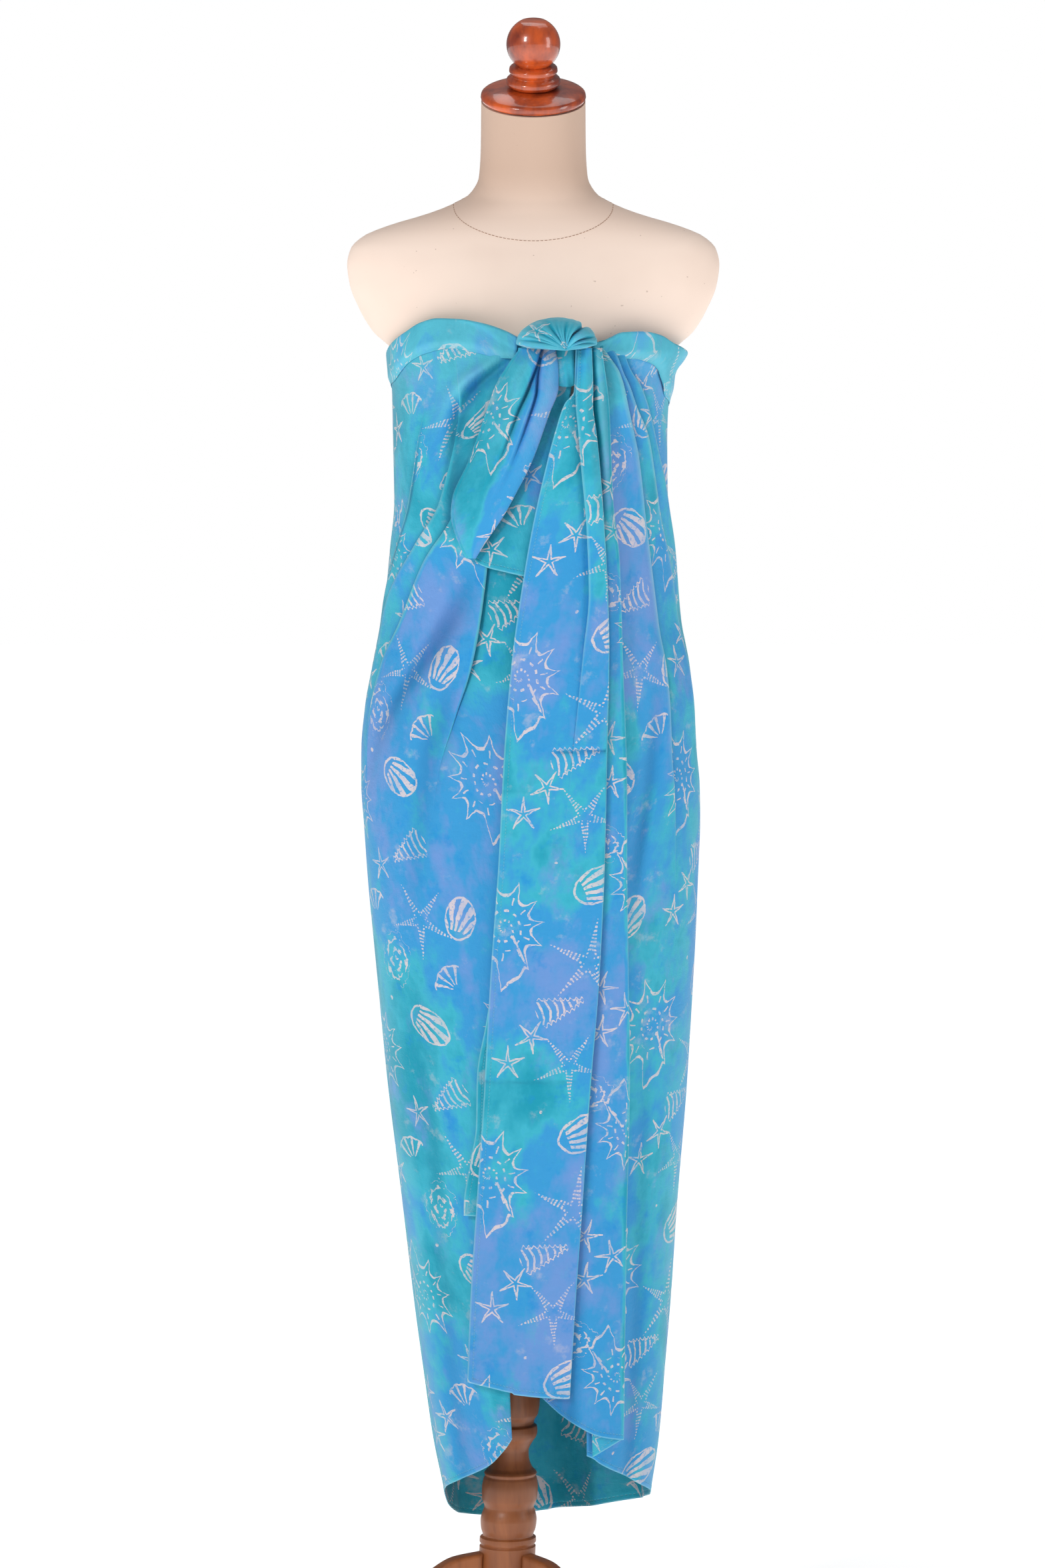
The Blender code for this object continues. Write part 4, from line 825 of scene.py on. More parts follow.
def make_ends():
    """The inner tail and the two layers of the tied corner."""
    sizes = bpy.context.scene.sarong_sizes
    rows = 260

    def tail_point(across, up):
        z = mix(TAIL_FOOT, END_TOP, crowded(up, rows, RIM_ROWS, RIM_SHARE))
        left, right = TAIL("left", z), TAIL("right", z)
        x = mix(left, right, across)
        out = TAIL_OUT + 0.4 * sizes.ripple * ripple(x + 2, z) + hem_roll(x - left, sizes.hem, HEM_PROUD)
        print_map = np.stack([x - left + TAIL_PRINT[0], z + TAIL_PRINT[1]], axis=1)
        rim_map = np.stack([z, np.minimum(z - TAIL_FOOT, x - left)], axis=1)
        return over_front(x, z, out), print_map, rim_map, -0.6, 0.0
    cloth("inner_tail_cloth", ["inner_tail"], 16, rows, tail_point)

    def back_point(across, up):
        foot = TIE_BACK_HEM("z", mix(TIE_BACK_HEM.rows[0, 0], TIE_BACK_HEM.rows[-1, 0], across))
        z = mix(foot, END_TOP, up)
        x = mix(TIE_BACK("left", z), TIE_BACK("right", z), across)
        out = TIE_OUT + 0.5 * sizes.ripple * ripple(x + 1, z) + hem_roll(z - foot, sizes.hem, HEM_PROUD)
        print_map = np.stack([x + TIE_PRINT[0] + 0.25 * z, z + TIE_PRINT[1] - 0.25 * x], axis=1)
        # Painted shadow of the roll on the layer behind it, and painted shade over all of this layer
        crest = -0.25 - 0.7 * np.exp(-np.maximum(x - TIE_ROLL("right", z), 0) / 0.013) * ease(1.13, 1.20, z)
        return over_front(x, z, out), print_map, np.stack([x, z - foot], axis=1), -0.6, crest
    cloth("tie_back_cloth", ["left_tie_back"], 40, 90, back_point)

    counts = [48, 20, 8]

    def roll_point(across, up):
        zone, share = cells(1 - across, counts)
        z = mix(ROLL_FOOT, END_TOP, up)
        left, right, bulge, crease = (TIE_ROLL(name, z) for name in ("left", "right", "bulge", "crease"))
        out = ROLL_BACK_OUT + 2 * ROLL_TURN
        front = zone == 0
        parting = ease(1.350, 1.285, z)
        valley = np.maximum(bump_at(share, mix(0.40, 0.31, parting), 0.040),
                            bump_at(share, mix(0.43, 0.52, parting), 0.045)) * crease / ROLL_DEEPEST
        puff = ROLL_PUFF * bulge * np.sin(math.pi * np.clip(share, 0, 1)) ** 0.6 * (1 - 0.75 * valley)
        wrinkle = ROLL_WRINKLE * np.sin(share * 34 + z * 60) * np.sin(math.pi * share) * ease(1.20, 1.30, z)
        past = np.where(zone == 1, ROLL_TURN_SHARE * share, mix(ROLL_TURN_SHARE, 1, share))
        turned_x, turned_out, length = folded_edge(left, out, ROLL_TURN, -1, (right - left) * ROLL_UNDER,
                                                   ROLL_TURN_SHARE, past)
        x = np.where(front, mix(right, left + ROLL_TURN, share), turned_x)
        out = np.where(front, out + puff + wrinkle, turned_out)
        u = np.where(front, right - x, right - left + length)
        print_map = np.stack([ROLL_PRINT[0] - u * 1.1 + 0.5 * z, z * 0.92 + 0.5 * u + ROLL_PRINT[1]], axis=1)
        tint = np.where(front, mix(0.5, -0.6, ease(0.34, 0.60, share)), -0.8)
        # Painted highlight beside the crease and on the raised parts, painted shade in the crease valleys
        crest = front * (0.7 * bump_at(share, mix(0.40, 0.37, parting), 0.016) * crease / ROLL_DEEPEST - valley)
        highlit_swells = bump_at(share, 0.15, 0.13) + 0.7 * bump_at(share, 0.70, 0.15)
        crest = crest + ROLL_PAINTED_HIGHLIGHT * front * highlit_swells * ease(1.20, 1.33, z)
        out = out - TOP_TUCK * ease(1.336, END_TOP, z)
        return over_front(x, z, out), print_map, no_rim(z), tint, crest
    cloth("tie_roll_cloth", ["left_tie_roll"], sum(counts), 130, roll_point)


def make_knot():
    """The knot's bulging turn, gathered towards the hollow at its foot, and the band that comes out of the hollow."""
    def wrap_point(across, up):
        arc = mix(math.pi + KNOT_UNDER, -KNOT_UNDER, across)
        roll = mix(*KNOT_ROLL, up)
        lean = arc + KNOT_TWIST * np.sin(roll * 1.1) * np.cos(arc * 0.8)
        gather = 1 - ease(*KNOT_FADE, roll) * (0.9 - 0.5 * bump_at(arc, *KNOT_PARTING))
        swell = -KNOT_FOLDED * sum(depth * bump_at(lean, at, width) for at, width, depth in KNOT_CREASES) * gather
        wide = KNOT_WIDE * (1 - KNOT_RIGHT_THIN * ease(0.2, 1, np.cos(arc)))
        ring = KNOT_HOLLOW + (1 - KNOT_HOLLOW) * np.sin(roll)
        tucked = 1 - KNOT_TUCK * ease(0, KNOT_UNDER, np.maximum(-arc, arc - math.pi))
        x = KNOT_AT[0] + (wide * ring * tucked + swell) * np.cos(arc) + KNOT_PINCH * (1 - ring)
        z = KNOT_BOTTOM + (KNOT_RISE * ring + swell * np.sin(roll)) * np.sin(arc) - KNOT_SINK * (1 - ring)
        y = KNOT_AT[1] - (KNOT_DEEP * tucked + swell) * np.cos(roll)
        places = np.stack([x, y, z], axis=1)
        print_map = np.stack([arc * 0.030 + KNOT_PRINT[0], roll * 0.022 + KNOT_PRINT[1]], axis=1)
        # Painted highlight over the knot, painted shade in its creases
        crest = KNOT_PAINTED_HIGHLIGHT + swell / KNOT_SHADE
        return places, print_map, no_rim(z), -0.55 + 0.4 * bump_at(arc, *KNOT_PARTING), crest
    cloth("knot_cloth", ["knot_wrap"], 170, 100, wrap_point)

    def loop_point(across, up):
        side = 2 * across - 1
        z = mix(LOOP_FOOT + LOOP_FOOT_BOW * side**2, END_TOP, up)
        crown = np.sqrt(1 - 0.96 * side**2)
        fall = np.sin(math.pi * mix(0.06, 0.62, up)) ** 0.6
        out = LOOP_OUT + LOOP_PUFF * crown * fall + LOOP_WRINKLE * np.sin(side * 9 + z * 120)
        x = mix(*LOOP_SIDES, across)
        print_map = np.stack([x + LOOP_PRINT[0], z + LOOP_PRINT[1]], axis=1)
        # Painted shade over the loop
        return over_front(x, z, out), print_map, no_rim(z), -0.8, -0.3
    cloth("knot_loop_cloth", ["knot_loop"], 24, 40, loop_point)


def make_torso():
    """Torso with shoulders and neck, and the stitched seam round the foot of the neck."""
    bm, across, up = grid(TORSO_SIDES, TORSO_ROWS)
    z = TORSO.rows[0, 0] + (TORSO.rows[-1, 0] - TORSO.rows[0, 0]) * up
    move_verts(bm, torso_point(across * 360, z))
    bmesh.ops.remove_doubles(bm, verts=bm.verts, dist=SAME_PLACE)
    rims = [edge for edge in bm.edges if edge.is_boundary]
    bmesh.ops.edgeloop_fill(bm, edges=rims)
    bmesh.ops.recalc_face_normals(bm, faces=bm.faces)
    made = piece("torso", bm, cover_look(), 50)
    stand_in(made, ["dress_form"])

    bm = bmesh.new()
    for k in range(COLLAR_STITCHES):
        middle = 360 * k / COLLAR_STITCHES
        ends = torso_point(*collar_line(np.array([middle - COLLAR_STITCH_TURN, middle + COLLAR_STITCH_TURN])),
                           COLLAR_PROUD)
        run = Vector(ends[1] - ends[0])
        stitch = bmesh.ops.create_cone(bm, cap_ends=True, segments=6, radius1=THREAD, radius2=THREAD,
                                       depth=run.length)
        place = Matrix.Translation(Vector((ends[0] + ends[1]) / 2)) @ run.to_track_quat("Z", "Y").to_matrix().to_4x4()
        bmesh.ops.transform(bm, matrix=place, verts=stitch["verts"])
    seam = piece("collar_stitches", bm, thread_look(), 40)
    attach(seam, BODY)


def collar_line(angle):
    """Turn and height of the seam round the foot of the neck, low at the front."""
    side, ahead = np.sin(np.radians(angle)), np.cos(np.radians(angle))
    z = COLLAR_SIDE - COLLAR_FRONT_DROP * np.maximum(ahead, 0) + COLLAR_BACK_RISE * np.maximum(-ahead, 0)
    turn = np.degrees(np.arcsin(np.clip(COLLAR_HALF * side / TORSO("half", z), -1, 1)))
    return np.where(ahead < 0, 180 - turn, turn), z


def torso_point(turn, z, out=0.0):
    """Points on the dress form, tilted with the neck where the neck leans forward."""
    side, ahead = np.sin(np.radians(turn)), np.cos(np.radians(turn))
    full = TORSO("narrow", z)
    front = (TORSO("front", z) + out) * np.abs(ahead) ** np.where(ahead > 0, full, 1)
    y = np.where(ahead > 0, -front, (TORSO("back", z) + out) * -ahead)
    tilt = np.radians(TORSO("tilt", z))
    x = (TORSO("half", z) + out) * side
    return np.stack([x, y * np.cos(tilt) + TORSO("shift", z), z + y * np.sin(tilt)], axis=1)


def smooth_outline(rows, steps):
    """A finer outline through the points of a turned piece, still crisp at its grooves."""
    rows = np.array(rows, float)
    along = np.concatenate([[0], np.cumsum(np.hypot(*np.diff(rows, axis=0).T))])
    line = Table("at z r", *np.column_stack([along, rows]))
    at = np.unique(np.concatenate([along, np.linspace(0, along[-1], steps)]))
    return [(z, r) for z, r in zip(line("z", at), line("r", at))]


def turned_piece(name, node, outline, look, place, sharp_deg=38):
    """A piece turned on its own Z axis, then put in place."""
    bm = bmesh.new()
    verts = [bm.verts.new((max(r, 0), 0, z)) for z, r in outline]
    edges = [bm.edges.new(pair) for pair in zip(verts, verts[1:])]
    bmesh.ops.spin(bm, geom=verts + edges, cent=(0, 0, 0), axis=(0, 0, 1), angle=math.tau, steps=TURNED_SIDES,
                   use_merge=True)
    bmesh.ops.remove_doubles(bm, verts=bm.verts, dist=SAME_PLACE)
    bmesh.ops.recalc_face_normals(bm, faces=bm.faces)
    bmesh.ops.transform(bm, matrix=place, verts=bm.verts)
    stand_in(piece(name, bm, look, sharp_deg), [node])


def neck_axis():
    """Frame of the tilted neck's top."""
    z, shift = TORSO.rows[-1, 0], TORSO.rows[-1, 5]
    axis = Matrix.Translation((0.0, shift, z)) @ Matrix.Rotation(CAP_TILT, 4, "X")
    return axis @ Matrix.Translation((0, 0, FIT_GAP))


def make_cap():
    """The turned cap on the neck and the finial with its ball."""
    turned_piece("turned_cap", "neck_cap", smooth_outline(NECK_CAP, 60), lacquer_look(),
                 neck_axis())
    start = math.asin(FINIAL[-1][1] / BALL_RADIUS)
    end = math.pi - math.asin(BALL_FACET / BALL_RADIUS)
    angles = np.linspace(start, end, 40)
    ball = [(BALL_CENTRE - BALL_RADIUS * math.cos(a), BALL_RADIUS * math.sin(a)) for a in angles]
    outline = smooth_outline(FINIAL[:-1] + [ball[0]], 60) + ball[1:] + [(ball[-1][0], 0.0)]
    turned_piece("turned_finial", "finial", outline, lacquer_look(), neck_axis())


def leaning():
    """The stand's lean to the viewer's left, from the plate down."""
    place = Matrix.Translation((-LEAN * LEAN_FROM, 0, 0))
    place[0][2] = LEAN
    return place


def make_column():
    """Plate under the torso and the leaning turned column."""
    turned_piece("plate", "hip_plate", PLATE, stand_look(), Matrix.Identity(4))
    turned_piece("column", "stand_column", smooth_outline(COLUMN, 420), stand_look(), leaning())


def make_leg(number, turn):
    """One curved leg: its side outline, thickened, with softened edges."""
    at = np.linspace(LEG.rows[0, 0], LEG.rows[-1, 0], LEG_STEPS)
    outline = list(zip(at, LEG("top", at))) + list(zip(at, LEG("under", at)))[::-1]
    bm = bmesh.new()
    verts = [bm.verts.new((r, -LEG_THICK / 2, z)) for r, z in outline]
    swept = bmesh.ops.extrude_face_region(bm, geom=[bm.faces.new(verts)])["geom"]
    moved = [item for item in swept if isinstance(item, bmesh.types.BMVert)]
    bmesh.ops.translate(bm, verts=moved, vec=(0, LEG_THICK, 0))
    bmesh.ops.recalc_face_normals(bm, faces=bm.faces)
    rim = [edge for edge in bm.edges if abs(edge.verts[0].co.y - edge.verts[1].co.y) < 1e-6]
    bmesh.ops.bevel(bm, geom=rim, offset=LEG_EDGE, offset_type="OFFSET", segments=3, profile=0.5, affect="EDGES",
                    material=-1)
    bmesh.ops.transform(bm, matrix=leaning() @ Matrix.Rotation(math.radians(turn), 4, "Z"), verts=bm.verts)
    made = piece(f"leg_{number}", bm, stand_look(), 38)
    stand_in(made, [f"stand_leg_{number}"])


class Field:
    """A value that varies over a surface: one node's output, with Python's operators for its maths."""

    def __init__(self, look, socket):
        self.look = look
        self.socket = socket

    def math(self, operation, *others):
        return self.look.node("ShaderNodeMath", {"operation": operation}, dict(enumerate([self, *others])))

    def __add__(self, other):
        return self.math("ADD", other)

    def __sub__(self, other):
        return self.math("SUBTRACT", other)

    def __mul__(self, other):
        return self.math("MULTIPLY", other)

    def __truediv__(self, other):
        return self.math("DIVIDE", other)

    def __rsub__(self, other):
        return self * -1 + other

    def __lt__(self, other):
        return self.math("LESS_THAN", other)

    def __gt__(self, other):
        return self.math("GREATER_THAN", other)

    def __abs__(self):
        return self.math("ABSOLUTE")

    __radd__ = __add__
    __rmul__ = __mul__

    def root(self):
        return self.math("SQRT")

    def sine(self):
        return self.math("SINE")

    def most(self, other):
        return self.math("MAXIMUM", other)

    def rise(self, low, high, start=0.0, end=1.0):
        """start below low, end above high and a smooth change between them."""
        inputs = {"Value": self, "From Min": low, "From Max": high, "To Min": start, "To Max": end}
        return self.look.node("ShaderNodeMapRange", {"interpolation_type": "SMOOTHSTEP"}, inputs)

    def line(self, width):
        """1 where the value is nearly 0, for a drawn line of that half width."""
        return abs(self).rise(width * 0.2, width * 1.9, 1.0, 0.0)


class Look:
    """The nodes of one material."""

    def __init__(self, name, constants):
        self.material = bpy.data.materials.new(name)
        self.material.use_nodes = True
        self.tree = self.material.node_tree
        self.shader = self.tree.nodes["Principled BSDF"]
        for socket, value in constants.items():
            self.shader.inputs[socket].default_value = value

    def feed(self, socket, value):
        if isinstance(value, Field):
            self.tree.links.new(value.socket, socket)
        else:
            socket.default_value = value

    def node(self, kind, settings=None, inputs=None, output=0):
        """An output of a new node, whose settings are set before the values or links of its sockets."""
        made = self.tree.nodes.new(kind)
        for name, value in (settings or {}).items():
            if name == "stops":
                ramp = made.color_ramp
                for place, color in value[1:-1]:
                    ramp.elements.new(place).color = (*color, 1)
                for element, (place, color) in ((ramp.elements[0], value[0]), (ramp.elements[-1], value[-1])):
                    element.position, element.color = place, (*color, 1)
            else:
                setattr(made, name, value)
        for name, value in (inputs or {}).items():
            self.feed(made.inputs[name], value)
        return Field(self, made.outputs[output])

    def parts(self, vector):
        return [self.node("ShaderNodeSeparateXYZ", None, {0: vector}, k) for k in range(3)]

    def vector(self, operation, *values, output=0):
        return self.node("ShaderNodeVectorMath", {"operation": operation}, dict(enumerate(values)), output)

    def noise(self, at, scale, detail=2.0, roughness=0.5, output=0):
        inputs = {"Vector": at, "Scale": scale, "Detail": detail, "Roughness": roughness}
        return self.node("ShaderNodeTexNoise", None, inputs, output)

    def ramp(self, factor, stops):
        return self.node("ShaderNodeValToRGB", {"stops": stops}, {0: factor})

    def blend(self, factor, first, second, kind="MIX"):
        settings = {"data_type": "RGBA", "blend_type": kind}
        return self.node("ShaderNodeMix", settings, {0: factor, 6: first, 7: second}, 2)

    def bump(self, height, strength, distance):
        inputs = {"Height": height, "Strength": strength, "Distance": distance}
        self.feed(self.shader.inputs["Normal"], self.node("ShaderNodeBump", None, inputs))

    def paint(self, socket, value):
        self.feed(self.shader.inputs[socket], value)


def linear(red, green, blue):
    """Scene colour of a display colour given from 0 to 255."""
    return tuple((c / 255 / 12.92) if c / 255 <= 0.04045 else ((c / 255 + 0.055) / 1.055) ** 2.4
                 for c in (red, green, blue))


def opaque(color):
    return (*color, 1.0)


# The print repeats on a lattice whose next column drops by half a repeat. Drawings are larger for a smaller scale
PRINT_SCALE = 0.84
REPEAT_WIDE = 0.30
REPEAT_HIGH = 0.205
DROP = REPEAT_HIGH / 2 / REPEAT_WIDE


class Motifs:
    """Sea creatures drawn in wax lines, each placed in the repeat by its middle, turn and scale.

    Each drawing is made from its own sizes in metres, with its middle at 0, 0.
    """

    def __init__(self, look, place):
        self.look = look
        x, y, _ = look.parts(place)
        self.lattice = look.node("ShaderNodeCombineXYZ", None, {0: x, 1: y - x * DROP})
        self.broken = look.noise(place, 420.0, 1.0).rise(0.30, 0.46)
        self.wax = look.noise(place, 1.0, 0.0) * 0.0

    def local(self, x, y, turn, scale):
        """Coordinates of one motif, in metres of its own drawing."""
        off = self.look.vector("SUBTRACT", self.lattice, (x, y - x * DROP, 0.0))
        half = (REPEAT_WIDE / 2, REPEAT_HIGH / 2, 1.0)
        off = self.look.vector("WRAP", off, half, tuple(-h for h in half))
        c, s = math.cos(math.radians(turn)) / scale, math.sin(math.radians(turn)) / scale
        across = self.look.vector("DOT_PRODUCT", off, (c + s * DROP, s, 0.0), output=1)
        along = self.look.vector("DOT_PRODUCT", off, (c * DROP - s, c, 0.0), output=1)
        return across, along

    def draw(self, mask):
        self.wax = self.wax.most(mask)

    def star_arms(self, x, y, reach, fat):
        """How far outside a five-armed star a place is, and how far it is along the nearest arm."""
        angle = abs(y.math("ARCTAN2", x).math("WRAP", math.pi / 5, -math.pi / 5))
        far = (x * x + y * y).root()
        along = far * angle.math("COSINE")
        return far * angle.sine() - fat * (reach - along), along

    def starfish(self, x, y):
        edge, along = self.star_arms(x, y, 0.031, 0.13)
        beads = (along * (math.tau / 0.0032)).sine().rise(-0.1, 0.4)
        inner = (edge + 0.0017).line(0.0005) * beads * (along > 0.008)
        self.draw((edge.line(0.0008) * (0.35 + 0.65 * beads)).most(inner))

    def small_star(self, x, y):
        edge, along = self.star_arms(x, y, 0.0135, 0.13)
        self.draw(edge.line(0.00055) * (along < 0.0145))

    def clam(self, x, y):
        edge = ((x * x) / 0.0215**2 + (y * y) / 0.0145**2).root()
        angle = y.math("ARCTAN2", x + 0.030)
        stripes = (angle * 27 + x * 90).sine().rise(-0.45, 0.05)
        shell = edge.rise(0.93, 1.0, 1.0, 0.0) * stripes * (x > -0.014)
        self.draw(shell.most((edge - 1).line(0.045)))

    def scallop(self, x, y):
        up = y + 0.010
        angle = x.math("ARCTAN2", up)
        far = (x * x + up * up).root()
        scallops = abs((angle * 6.5).sine())
        rim = far - 0.0195 - 0.0010 * scallops
        fan = abs(angle) < 0.92
        ribs = scallops.rise(0.80, 0.95) * (rim < 0) * (far > 0.004)
        self.draw(rim.line(0.0006).most(ribs) * fan)

    def oyster(self, x, y):
        edge = ((x * x) / 0.0150**2 + (y * y) / 0.0205**2).root()
        rough = self.look.noise(self.look.node("ShaderNodeCombineXYZ", None, {0: x, 1: y}), 170.0, 2.0)
        rings = (edge + 0.75 * rough) * 2.6
        gaps = (y.math("ARCTAN2", x) * 3 + edge * 9).sine().rise(-0.75, -0.45)
        drawn = rings.math("WRAP", 0.5, -0.5).line(0.15) * gaps
        self.draw(drawn * (rings < 3.9))

    def whelk(self, x, y):
        """Spined shell with pointed spines all round, drawn out to a point at its foot."""
        far = (x * x + y * y * 0.60).root()
        angle = y.math("ARCTAN2", x)
        spines = (1 - abs((angle * 5.5 + 0.4).sine())).math("POWER", 1.7)
        foot = (y * -0.775 / far).rise(0.90, 1.0)
        edge = far - 0.0215 - spines * 0.0105 - foot * 0.012
        turns = (far * 150 + angle / math.tau).math("WRAP", 0.5, -0.5)
        beads = (angle * 11).sine().rise(-0.1, 0.4)
        dotted = turns.line(0.11) * beads * (far < 0.0150)
        strokes = spines.rise(0.70, 0.82) * (far > 0.0165) * (far < 0.0215)
        folds = (x + y * 0.25 - 0.004).line(0.0009) * (y < -0.004) * (far > 0.008)
        self.draw(edge.line(0.0010))
        self.draw(dotted.most(strokes).most(folds * (edge < -0.004)))

    def horn(self, x, y):
        """Small pointed shell, hatched across, with its tip at the right."""
        half = (0.024 - x) * 0.31
        spines = abs((x * (math.pi / 0.0042)).sine()).math("POWER", 3.0) * 0.0022
        edge = abs(y) - half - spines
        back = (x + 0.016 - y * y * 30).rise(-0.0012, 0.0012)
        hatch = ((x + y * y * 24) * (math.tau / 0.0058)).sine().rise(0.35, 0.75)
        inside = edge.rise(-0.0018, -0.0008, 1.0, 0.0)
        self.draw((edge.line(0.0006).most(hatch * inside)) * back * (x < 0.024))

    def dots(self, x, y):
        """Loose bubbles between the larger drawings."""
        self.draw((x * x + y * y).root().line(0.0012))


# Middle of each drawing in the repeat, its turn in degrees and its scale
LAYOUT = [
    ("whelk", 0.046, 0.066, 14, 1.0), ("whelk", 0.196, 0.148, -158, 0.86), ("starfish", 0.118, 0.038, 12, 1.0),
    ("starfish", 0.272, 0.052, 47, 0.9), ("starfish", 0.106, 0.158, -14, 0.82), ("clam", 0.122, 0.102, 24, 1.0),
    ("clam", 0.262, 0.170, -32, 0.92), ("clam", 0.010, 0.158, 66, 0.85), ("small_star", 0.164, 0.062, 0, 1.0),
    ("small_star", 0.187, 0.044, 31, 1.0), ("small_star", 0.166, 0.026, 12, 1.0),
    ("small_star", 0.056, 0.160, 20, 1.0), ("small_star", 0.074, 0.182, -9, 1.0),
    ("small_star", 0.232, 0.096, 25, 0.95), ("scallop", 0.214, 0.064, 8, 1.0),
    ("scallop", 0.140, 0.136, -24, 0.95), ("scallop", 0.290, 0.004, 40, 1.0), ("oyster", 0.156, 0.182, 78, 1.0),
    ("oyster", 0.236, 0.018, -12, 1.0), ("horn", 0.092, 0.000, 18, 1.0), ("horn", 0.272, 0.112, -152, 1.0),
    ("dots", 0.085, 0.120, 0, 1.0), ("dots", 0.150, 0.002, 0, 1.0), ("dots", 0.222, 0.190, 0, 1.3),
]


def batik_look():
    """Dyed and waxed cloth. Made once, and shared by all its stretches."""
    if "batik_print" in bpy.data.materials:
        return bpy.data.materials["batik_print"]
    colors = bpy.context.scene.sarong_colors
    look = Look("batik_print", {"Roughness": 0.62, "Sheen Weight": 0.18, "Sheen Roughness": 0.45,
                                "Specular IOR Level": 0.28})
    place = look.node("ShaderNodeUVMap", {"uv_map": "print"})
    wobble = look.vector("SUBTRACT", look.noise(place, 95.0, 2.0, output=1), (0.5, 0.5, 0.5))
    drawn_at = look.vector("MULTIPLY_ADD", wobble, (0.0032, 0.0032, 0.0),
                           look.vector("MULTIPLY", place, (PRINT_SCALE,) * 3))
    motifs = Motifs(look, drawn_at)
    for kind, x, y, turn, scale in LAYOUT:
        getattr(motifs, kind)(*motifs.local(x, y, turn, scale))
    soft = look.noise(place, 38.0, 2.0).rise(0.30, 0.62, 0.60, 0.95)
    brush = (look.noise(place, 230.0, 2.0, 0.6) - 0.5) * 0.95
    wax = (motifs.wax + brush).rise(0.36, 0.60) * (0.3 + 0.7 * motifs.broken) * soft

    stretched = look.vector("MULTIPLY", place, (1.0, 0.62, 1.0))
    tint = look.node("ShaderNodeAttribute", {"attribute_name": "tint"}, None, 2)
    hue = (look.noise(stretched, 9.0, 5.0, 0.62) + 0.14 * tint).rise(0.30, 0.70)
    cloud = look.noise(look.vector("ADD", stretched, (3.1, 1.7, 0.4)), 22.0, 6.0, 0.64)
    dye = look.ramp(hue, [(0.0, colors.turquoise), (0.30, colors.aqua), (0.55, colors.sky), (0.80, colors.sky),
                          (1.0, colors.periwinkle)])
    dye = look.blend((cloud + 0.07 * tint).rise(0.52, 0.76), dye, opaque(colors.periwinkle))
    dye = look.blend((cloud + 0.07 * tint).rise(0.26, 0.46, 0.85, 0.0), dye, opaque(colors.aqua))
    blot = look.noise(look.vector("ADD", place, (7.7, 2.2, 0.9)), 34.0, 5.0, 0.68)
    dye = look.blend(blot.rise(0.55, 0.72, 0.0, 0.6), dye, opaque(colors.deep))
    dye = look.blend(blot.rise(0.26, 0.42, 0.28, 0.0), dye, opaque(colors.wax))
    cloth_color = look.blend(wax * 0.9, dye, opaque(colors.wax))

    rim_along, rim_far, _ = look.parts(look.node("ShaderNodeUVMap", {"uv_map": "rim"}))
    crest = look.node("ShaderNodeAttribute", {"attribute_name": "crest"}, None, 2)
    # Painted highlights along the hems and on fold edges, from the rim map and the crest attribute
    pale = rim_far.rise(0.0006, 0.0020, 0.45, 0.0).most(crest * 0.5)
    cloth_color = look.blend(pale, cloth_color, opaque(colors.edge))
    stitch = (rim_far - HEM_STITCH_AT).line(0.0005) * (rim_along * (math.tau / 0.0032)).sine().rise(-0.5, 0.0)
    cloth_color = look.blend(stitch * 0.25, cloth_color, opaque(colors.edge))
    # Painted shade: the cloth darkened where the crest attribute is below 0
    shade = (crest * -1).rise(0.0, 1.0, 0.0, 0.85)
    cloth_color = look.blend(shade, cloth_color, (0.22, 0.46, 0.58, 1.0), "MULTIPLY")
    look.paint("Base Color", cloth_color)

    grain = look.noise(look.vector("MULTIPLY", place, (1.0, 0.35, 1.0)), 520.0, 2.0)
    crumple = look.noise(look.vector("MULTIPLY", place, (1.0, 1.6, 1.0)), 48.0, 5.0, 0.68)
    look.paint("Roughness", 0.56 + 0.12 * grain)
    look.bump(grain * 0.25 + crumple * 0.9 + wax * 0.06 - stitch * 0.5, 0.6, 0.0020)
    return look.material


def cover_look():
    """Stretched ivory cover of the form."""
    colors = bpy.context.scene.sarong_colors
    look = Look("ivory_cover", {"Roughness": 0.72, "Sheen Weight": 0.12, "Specular IOR Level": 0.25})
    place = look.node("ShaderNodeTexCoord", None, None, 3)
    cloud = look.noise(place, 7.0, 3.0)
    fine = look.noise(place, 900.0, 1.0)
    speck = look.noise(place, 210.0, 1.0).rise(0.765, 0.80)
    up = look.parts(place)[2]
    # Random mottling of the cover, and painted shade deepening up the neck
    base = look.blend(cloud.rise(0.35, 0.70, 0.0, 0.17).most(up.rise(1.44, 1.53, 0.0, 0.9)), opaque(colors.cover),
                      opaque(colors.cover_mottle_and_shade))
    look.paint("Base Color", look.blend(speck * 0.35, base, opaque(colors.thread)))
    look.paint("Roughness", 0.66 + 0.14 * fine)
    look.bump(fine * 0.5 + cloud * 0.5, 0.2, 0.0004)
    return look.material


def thread_look():
    """Twisted thread of the collar seam."""
    colors = bpy.context.scene.sarong_colors
    look = Look("seam_thread", {"Roughness": 0.8})
    place = look.node("ShaderNodeTexCoord", None, None, 3)
    twist = look.noise(place, 1500.0, 1.0)
    look.paint("Base Color", look.blend(twist * 0.5, opaque(colors.thread), opaque(colors.cover_mottle_and_shade)))
    look.bump(twist, 0.3, 0.0002)
    return look.material


